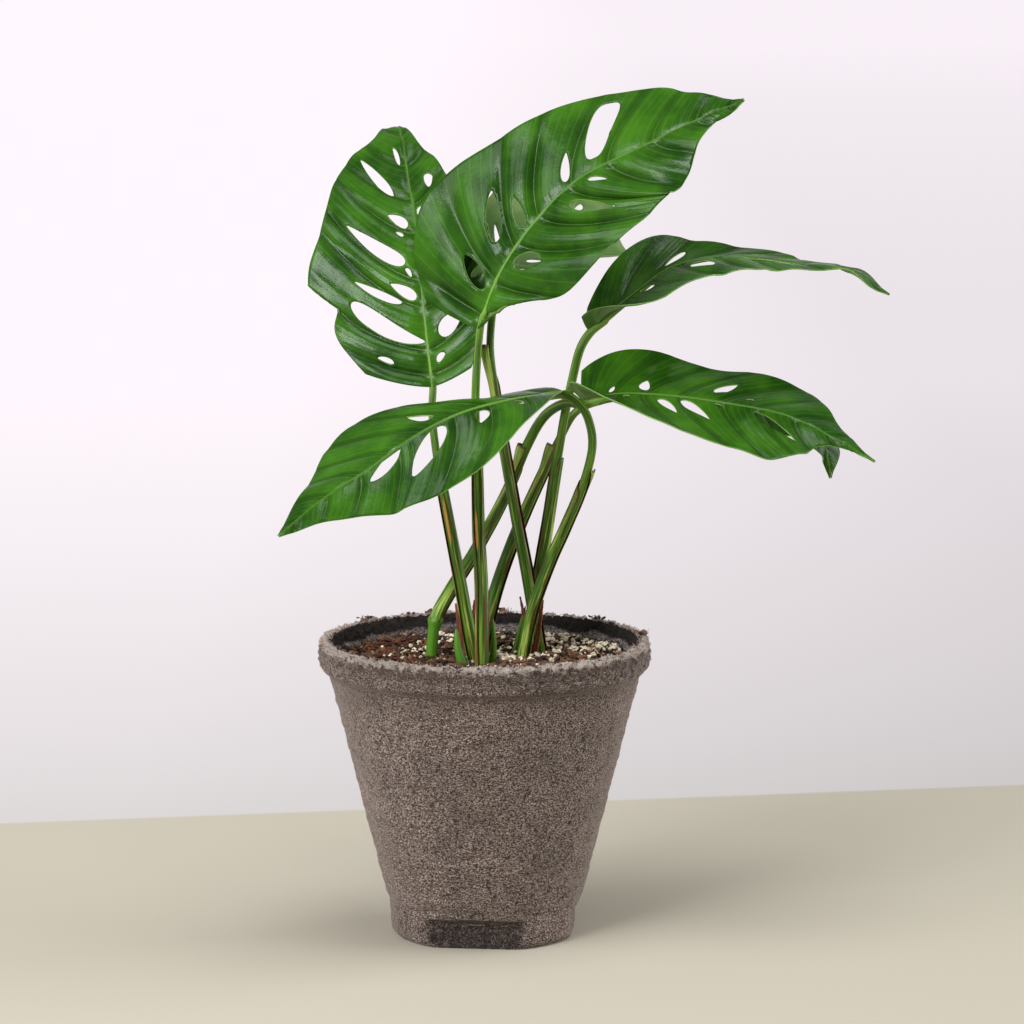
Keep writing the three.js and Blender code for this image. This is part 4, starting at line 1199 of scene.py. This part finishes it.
def leaf_upper_side(settings):
    """The upper side of an aroid leaf: a waxy cuticle, which gives broad soft gloss over sunken veins."""
    material, tree, place = finish_of("leaf_upper_side")
    number = stored(tree, "side_vein")
    from_rib = stored(tree, "from_midrib")
    across = stored(tree, "across")
    edge = stored(tree, "open_edge")
    # Green clouds of 15 to 25 mm, as on a living blade.
    cloud = span(tree, clouds(tree, place, 55, 4, 0.55), 0.36, 0.66)
    green = blend(tree, cloud, settings.deep_green, settings.mid_green)
    off_vein = calc(tree, "PINGPONG", number, 0.5)
    line = span(tree, off_vein, 0.006, 0.03, 1, 0)
    line = calc(tree, "MULTIPLY", line, span(tree, across, 0.05, 0.7, 0.2, 0.02))
    # Fine paler nerves run between the side veins.
    nerve = calc(tree, "PINGPONG", calc(tree, "MULTIPLY", number, 5), 0.5)
    green = blend(tree, span(tree, nerve, 0.1, 0, 0, 0.18), green, linear("#5c8a35"))
    # Painted shade in the groove that each side vein lies in, which darkens the green there.
    green = blend(tree, span(tree, off_vein, 0.02, 0.2, 0.55, 0), green, linear("#0f2c05"))
    green = blend(tree, line, green, settings.vein_green)
    green = blend(tree, span(tree, from_rib, 0.3, 1.3, 0.12, 0), green, settings.vein_green)
    green = blend(tree, span(tree, edge, 0.55, 1, 0, 0.12), green, settings.edge_green)
    # The nerves stand out a little, over cells of about 0.7 mm.
    cells = cells_of(tree, place, 1400)
    ruffle = clouds(tree, place, 260, 5, 0.6)
    # Creases that run with the side veins, about 2 mm apart and 12 mm long.
    with_veins = add(tree, "ShaderNodeCombineXYZ", {0: number, 1: from_rib})
    crease = clouds(tree, stretch(tree, with_veins, (5, 0.09, 1)), 1, 3)
    height = calc(tree, "MULTIPLY_ADD", cells, 0.08, calc(tree, "MULTIPLY", nerve, 0.2))
    height = calc(tree, "MULTIPLY_ADD", ruffle, 0.5, height)
    bump = raised(tree, calc(tree, "MULTIPLY_ADD", crease, 0.6, height), 0.7, 0.0004)
    gloss = span(tree, ruffle, 0.3, 0.7, 0.16, 0.27)
    return finished(material, {
        "Base Color": green, "Normal": bump, "Roughness": gloss, "Specular IOR Level": 0.15})


def leaf_under_side(settings):
    """The lower side of the leaf: dull and paler, with the veins standing out."""
    material, tree, place = finish_of("leaf_under_side")
    line = span(tree, calc(tree, "PINGPONG", stored(tree, "side_vein"), 0.5), 0.02, 0.08, 0.6, 0)
    cloud = span(tree, clouds(tree, place, 120, 5), 0.3, 0.7)
    green = blend(tree, cloud, settings.under_green, settings.mid_green)
    green = blend(tree, line, green, settings.edge_green)
    bump = raised(tree, cells_of(tree, place, 1200), 0.4, 0.0003)
    return finished(material, {"Base Color": green, "Normal": bump, "Roughness": 0.6})


def leaf_cut_edge(settings):
    """The leaf's edge, where the pale flesh between the two skins shows."""
    material, tree, place = finish_of("leaf_cut_edge")
    green = blend(tree, clouds(tree, place, 200, 3), settings.edge_green, settings.vein_green)
    return finished(material, {"Base Color": green, "Roughness": 0.5})


def stalk_skin(settings):
    """A living stalk: smooth skin with long streaks, and a semi-gloss that draws out its length."""
    material, tree, place = finish_of("stalk_skin")
    section = stored(tree, "section", "Vector")
    _, aside, along = parts_of(tree, section)
    long_place = stretch(tree, section, (3, 3, 5))
    streak = span(tree, clouds(tree, long_place, 1, 3), 0.4, 0.6)
    green = ramp(tree, streak, [
        (0.1, linear("#385814")), (0.45, settings.stalk_green), (0.8, settings.sheath_green)])
    green = blend(tree, span(tree, along, 0, -0.5), green, linear("#4d7f1c"))
    green = tanned(tree, green, clouds(tree, long_place, 1))
    # Dry maroon lines run along both sides, broken here and there.
    sides = calc(tree, "ABSOLUTE", aside)
    sides = calc(tree, "MULTIPLY_ADD", clouds(tree, place, 75, 2), 0.7, sides)
    sides = span(tree, sides, 1.2, 1.32)
    sides = calc(tree, "MULTIPLY", sides, span(tree, along, 0.8, 0.95, 0.85, 0))
    green = blend(tree, sides, green, settings.maroon)
    # The midrib part, from 1 on, takes the blade's green, and is paler near its foot.
    green = blend(tree, span(tree, along, 1, 1.12, 0, 0.85), green, linear("#37671a"))
    rib = ramp(tree, span(tree, along, 0.9, 1.9), [(0, 0), (0.12, 0.6), (0.35, 0.3), (0.6, 0.05), (1, 0)])
    green = blend(tree, rib, green, linear("#85ad47"))
    bump = raised(tree, streak, 0.3, 0.0002)
    return finished(material, {
        "Base Color": green, "Normal": bump, "Roughness": 0.42, "Specular IOR Level": 0.25})


def sheath_skin(settings):
    """The sheath: green and ribbed along its length, dry and maroon at its edges, pale at its free end."""
    material, tree, place = finish_of("sheath_skin")
    section = stored(tree, "section", "Vector")
    edge, aside, along = parts_of(tree, section)
    # Streaks of 0.5 to 1 mm that run the whole length.
    streak = clouds(tree, stretch(tree, section, (3.5, 3.5, 4)), 1, 4)
    clear = span(tree, streak, 0.4, 0.62)
    green = ramp(tree, clear, [
        (0.08, linear("#385814")), (0.38, settings.stalk_green), (0.7, settings.sheath_green),
        (1, settings.pale_green)])
    green = blend(tree, span(tree, along, 0.7, 1, 0, 0.6), green, settings.pale_green)
    green = tanned(tree, green, streak)
    blotch = clouds(tree, place, 90, 3)
    dry = span(tree, calc(tree, "MULTIPLY_ADD", blotch, 0.35, edge), 1.06, 1.16)
    # The skin turns maroon along both sides too, broken here and there.
    sides = calc(tree, "MULTIPLY_ADD", blotch, 0.5, calc(tree, "ABSOLUTE", aside))
    dry = calc(tree, "MAXIMUM", dry, span(tree, sides, 1.13, 1.2, 0, 0.9))
    brown = blend(tree, dry, green, settings.maroon)
    brown = blend(tree, span(tree, along, 0.985, 0.995, 0, 0.8), brown, settings.maroon)
    bump = raised(tree, streak, 0.5, 0.0002)
    return finished(material, {
        "Base Color": brown, "Normal": bump, "Roughness": 0.45, "Specular IOR Level": 0.25})


def shoot_skin(settings):
    """A young shoot: tender, bright and shiny, paler at its foot."""
    material, tree, place = finish_of("shoot_skin")
    along = parts_of(tree, stored(tree, "section", "Vector"))[2]
    streak = clouds(tree, place, 500, 3)
    height = calc(tree, "MULTIPLY_ADD", streak, 0.4, span(tree, along, 0.2, 0.9))
    green = blend(tree, height, settings.shoot_green, linear("#588624"))
    return finished(material, {"Base Color": green, "Roughness": 0.35, "Specular IOR Level": 0.25})


def dried_skin(settings):
    """A dried sheath: papery, brown and matt, with darker fibres along it."""
    material, tree, place = finish_of("dried_skin")
    streak = clouds(tree, stretch(tree, place, (1100, 1100, 60)), 1, 4)
    brown = blend(tree, span(tree, streak, 0.35, 0.65), linear("#45200f"), settings.dried_brown)
    bump = raised(tree, streak, 0.8, 0.0003)
    return finished(material, {"Base Color": brown, "Normal": bump, "Roughness": 0.75})


def moulded_fibre(settings):
    """Moulded wood fibre: felted and matt, with flecks, and a painted sheen that pales it at a slant."""
    material, tree, place = finish_of("moulded_fibre")
    inside = stored(tree, "inside")
    level = parts_of(tree, place)[2]
    pressed = stored(tree, "pressed")
    # Grains and short fibres of 0.5 to 1 mm, which lie a little more around the pot than up it.
    felt = clouds(tree, stretch(tree, place, (1250, 1250, 2600)), 1, 3, 0.65, 0.4)
    grain = clouds(tree, place, 2800, 2, 0.6)
    stain = clouds(tree, place, 50, 5, 0.65)
    both = span(tree, calc(tree, "ADD", grain, felt), 0.82, 1.18)
    brown = ramp(tree, both, [
        (0.16, linear("#241811")), (0.4, settings.fibre_dark), (0.55, settings.fibre_mid),
        (0.84, settings.fibre_pale)])
    # Faint lines run around it here and there, from the mould's mesh.
    lines = clouds(tree, stretch(tree, place, (70, 70, 1300)), 1, 1)
    lines = span(tree, lines, 0.56, 0.68)
    lines = calc(tree, "MULTIPLY", lines, span(tree, stain, 0.45, 0.6, 0, 0.6))
    brown = blend(tree, lines, brown, settings.fibre_dark)
    pit = span(tree, clouds(tree, place, 430, 1), 0.68, 0.73, 0, 0.85)
    brown = blend(tree, pit, brown, linear("#1c1410"))
    brown = toned_by(tree, brown, span(tree, stain, 0.3, 0.7, 0.68, 1.26))
    # The rim crumbles, with painted shade in the dark hollows between the crumbs; its upper edge gets a
    # painted highlight, pale where light falls on the top.
    crumbs = clouds(tree, place, 420, 4, 0.7)
    hollow_shade = span(tree, crumbs, 0.46, 0.38)
    hollow_shade = calc(tree, "MULTIPLY", hollow_shade, span(tree, level, 0.093, 0.102, 0, 0.8))
    brown = blend(tree, hollow_shade, brown, linear("#2a1c15"))
    # Painted shade in bands round the rim: a dark band just under its upper edge, and one under the lip,
    # where its overhang shades the wall.
    shade = ramp(tree, span(tree, level, 0.084, 0.104), [
        (0, 0), (0.35, 0.3), (0.47, 0.75), (0.54, 0), (0.68, 0.2), (0.8, 0.6), (0.92, 0.6), (0.98, 0)])
    brown = blend(tree, shade, brown, settings.fibre_dark)
    # The painted highlight along the top edge, broken by the crumbs.
    lit = span(tree, calc(tree, "MULTIPLY_ADD", crumbs, 0.014, level), 0.1083, 0.1098, 0, 0.9)
    brown = blend(tree, lit, brown, linear("#e2d3c9"))
    # Painted sheen: where the surface is seen at a slant, its colour is mixed towards the pale fibre.
    slant = add(tree, "ShaderNodeLayerWeight", {"Blend": 0.5}).node.outputs["Facing"]
    brown = blend(tree, span(tree, slant, 0.4, 1, 0, 0.5), brown, settings.fibre_pale)
    # Inside, painted shade darkens the fibre, with a pale line of lime where the mix once dried.
    shaded = calc(tree, "MULTIPLY", inside, 0.97)
    brown = blend(tree, shaded, brown, blend(tree, both, linear("#060302"), linear("#2b1d15")))
    lime = span(tree, calc(tree, "MULTIPLY_ADD", stain, 0.008, level), 0.1035, 0.1025)
    lime = calc(tree, "MULTIPLY", calc(tree, "MULTIPLY", lime, inside), both)
    brown = blend(tree, lime, brown, linear("#d8c8c4"))
    # Painted shade on the near flats of the foot, broken by the crumbs and the grain.
    foot = span(tree, calc(tree, "MULTIPLY_ADD", crumbs, 3, pressed), 1.65, 2.45)
    foot = calc(tree, "MULTIPLY", foot, span(tree, both, 0, 1, 1, 0.76))
    # The painted shade is deepest where the flat meets the ground.
    foot = calc(tree, "MULTIPLY", foot, span(tree, level, 0.001, 0.011, 1, 0.76))
    brown = blend(tree, foot, brown, linear("#150903"))
    bump = raised(tree, both, 1, settings.fibre_bump)
    # Where painted shade darkens the fibre, it has no pale nap.
    nap = span(tree, calc(tree, "MAXIMUM", foot, shaded), 0, 1, 0.17, 0)
    return finished(material, {
        "Base Color": brown, "Normal": bump, "Roughness": 0.95, "Sheen Weight": nap,
        "Sheen Roughness": 0.5, "Sheen Tint": settings.fibre_pale})


def toned(name, dark, light, roughness, grain_scale):
    """A matt natural bit whose colour runs from dark to light by its own tone."""
    material, tree, place = finish_of(name)
    tone = stored(tree, "tone")
    grain = clouds(tree, place, grain_scale, 4)
    mixed = span(tree, calc(tree, "MULTIPLY_ADD", grain, 0.6, tone), 0.48, 1.35)
    tint = blend(tree, mixed, dark, light)
    bump = raised(tree, grain, 0.7, 0.0004)
    return finished(material, {"Base Color": tint, "Normal": bump, "Roughness": roughness})


def paper_floor(settings):
    """The floor: matt card, beige as far as its seam, and beyond it a backdrop that glows near white as
    painted light.
    """
    material, tree, place = finish_of("paper_floor")
    turn = math.radians(-SEAM["turn"])
    depth = parts_of(tree, add(tree, "ShaderNodeMapping", {"Vector": place, "Rotation": (0, 0, turn)}))[1]
    beyond = span(tree, depth, SEAM["distance"] - SEAM["half_width"], SEAM["distance"] + SEAM["half_width"])
    tint = blend(tree, beyond, settings.floor, linear("#000000"))
    # Painted shade: both darken to the right, where the light falls off, the backdrop less so further back.
    across = parts_of(tree, place)[0]
    side = span(tree, across, -0.15, 0.3, 0, 0.2)
    tint = toned_by(tree, tint, span(tree, side, 0, 0.2, 1.01, 0.9))
    # The backdrop is lit by itself, and grows paler as it goes back: half of that in the first 0.4 m.
    far = calc(tree, "DIVIDE", 1, calc(tree, "ADD", depth, 1 - SEAM["distance"]))
    pale = blend(tree, span(tree, far, 1, 0.42), settings.backdrop_near, settings.backdrop_far)
    side = calc(tree, "SUBTRACT", 1, calc(tree, "MULTIPLY", side, span(tree, depth, 1, 8, 1, 0.3)))
    pale = toned_by(tree, pale, side)
    return finished(material, {
        "Base Color": tint, "Emission Color": pale, "Emission Strength": beyond, "Roughness": 0.9,
        "Specular IOR Level": 0.2})


class VINE_OT_make_pot(bpy.types.Operator):
    """Moulds the fibre pot and the loose fibre on its rim"""

    bl_idname = "vine.make_pot"
    bl_label = "Make Pot"

    def execute(self, context):
        settings = context.scene.vine_pot
        fibre = moulded_fibre(settings)
        settle(pot_wall(settings, fibre), "moulded_fibre", "pot")
        fuzz = toned("loose_fibre", settings.fibre_mid, settings.fibre_pale, 0.95, 900)
        settle(rim_fuzz(fuzz), "moulded_fibre")
        return {"FINISHED"}


class VINE_OT_make_mix(bpy.types.Operator):
    """Fills the pot with mix: earth, bark chips, perlite and coir"""

    bl_idname = "vine.make_mix"
    bl_label = "Make Potting Mix"

    def execute(self, context):
        settings = context.scene.vine_mix
        settle(mix_ground(toned("earth", linear("#0c0603"), settings.earth, 0.95, 700)),
               "potting_mix", "potting_mix")
        settle(mix_chips(settings, toned("bark", linear("#150b06"), settings.bark, 0.85, 900)), "potting_mix")
        settle(mix_perlite(settings, toned("perlite", linear("#cbbb9f"), settings.perlite, 0.9, 1500)),
               "potting_mix")
        settle(mix_coir(settings, toned("coir", linear("#4a2410"), settings.coir, 0.8, 700)), "potting_mix")
        return {"FINISHED"}


class VINE_OT_make_leaves(bpy.types.Operator):
    """Grows the seven leaves with their stalks and sheaths"""

    bl_idname = "vine.make_leaves"
    bl_label = "Make Leaves"

    def execute(self, context):
        settings, stems = context.scene.vine_leaf, context.scene.vine_stalk
        skins = [leaf_upper_side(settings), leaf_under_side(settings), leaf_cut_edge(settings)]
        stalk_material, sheath_material = stalk_skin(stems), sheath_skin(stems)
        turned_skins = [skins[1], skins[0], skins[2]]
        for node, leaf in LEAVES.items():
            name = node.removeprefix("leaf_")
            settle(blade(name, leaf, settings, turned_skins if leaf.get("turned") else skins), "leaf", node)
            settle(stalk(name, leaf, settings.thickness, stalk_material), "leaf")
            settle(sheath(name, leaf, sheath_material), "leaf")
        return {"FINISHED"}


class VINE_OT_make_shoots(bpy.types.Operator):
    """Grows the young shoots and the dried sheaths at the foot of the stalks"""

    bl_idname = "vine.make_shoots"
    bl_label = "Make Shoots"

    def execute(self, context):
        stems = context.scene.vine_stalk
        green, brown = shoot_skin(stems), dried_skin(stems)
        for node, form in SHOOTS.items():
            settle(shoot(node.removeprefix("young_shoot_"), form, green), "young_shoot", node)
        for node, form in DRIED_SHEATHS.items():
            settle(dried_sheath(node, form, brown), "dried_sheath", node)
        return {"FINISHED"}


class VINE_OT_make_stage(bpy.types.Operator):
    """Lays the floor and sets the lights and the camera"""

    bl_idname = "vine.make_stage"
    bl_label = "Make Stage"

    def execute(self, context):
        settings = context.scene.vine_stage
        deselect()
        bpy.ops.mesh.primitive_plane_add(size=60, location=(0, 0, 0))
        floor = context.object
        floor.name = "floor"
        floor.data.materials.append(paper_floor(settings))
        for name, (place, size) in LIGHTS.items():
            bpy.ops.object.light_add(type="AREA", location=place)
            light = context.object
            light.name = name + "_light"
            light.data.energy = getattr(settings, name)
            light.data.size = size
            light.rotation_euler = (Vector(LOOKED_AT) - Vector(place)).to_track_quat("-Z", "Y").to_euler()
        world = bpy.data.worlds.new("studio")
        world.use_nodes = True
        tree = world.node_tree
        _, back, up = parts_of(tree, add(tree, "ShaderNodeTexCoord", {}).node.outputs["Generated"])
        strength = calc(tree, "MULTIPLY", span(tree, back, -0.2, 0.7), span(tree, up, 0.55, 0.1))
        strength = span(tree, strength, 0, 1, settings.sky_front, settings.sky_back)
        fill(tree, tree.nodes["Background"], {"Strength": strength, "Color": linear("#fffcfa")})
        context.scene.world = world
        context.scene.view_settings.view_transform = "Standard"
        turn = (math.radians(90 + CAMERA["pitch"]), 0, 0)
        bpy.ops.object.camera_add(location=CAMERA["place"], rotation=turn)
        camera = context.object
        camera.name = "camera"
        camera.data.angle = math.radians(CAMERA["view_angle"])
        context.scene.camera = camera
        return {"FINISHED"}


class VINE_PT_panel(bpy.types.Panel):
    """Lists the steps and the settings"""

    bl_idname = "VINE_PT_panel"
    bl_label = "Swiss Cheese Vine"
    bl_space_type = "VIEW_3D"
    bl_region_type = "UI"
    bl_category = "Vine"

    def draw(self, context):
        for operator in OPERATORS:
            self.layout.operator(operator.bl_idname)
        for name, group in SETTINGS.items():
            box = self.layout.box()
            for key in group.__annotations__:
                box.prop(getattr(context.scene, name), key)


SETTINGS = {
    "vine_leaf": LeafSettings,
    "vine_stalk": StalkSettings,
    "vine_pot": PotSettings,
    "vine_mix": MixSettings,
    "vine_stage": StageSettings,
}
OPERATORS = (VINE_OT_make_stage, VINE_OT_make_pot, VINE_OT_make_mix, VINE_OT_make_leaves, VINE_OT_make_shoots)


def register():
    for group in SETTINGS.values():
        bpy.utils.register_class(group)
    for name, group in SETTINGS.items():
        setattr(bpy.types.Scene, name, bpy.props.PointerProperty(type=group))
    for operator in OPERATORS:
        bpy.utils.register_class(operator)
    bpy.utils.register_class(VINE_PT_panel)


def unregister():
    bpy.utils.unregister_class(VINE_PT_panel)
    for operator in reversed(OPERATORS):
        bpy.utils.unregister_class(operator)
    for name, group in reversed(SETTINGS.items()):
        delattr(bpy.types.Scene, name)
        bpy.utils.unregister_class(group)


def main():
    """Builds the stage and every piece in order."""
    register()
    bpy.ops.vine.make_stage()
    bpy.ops.vine.make_pot()
    bpy.ops.vine.make_mix()
    bpy.ops.vine.make_leaves()
    bpy.ops.vine.make_shoots()


if __name__ == "__main__":
    main()
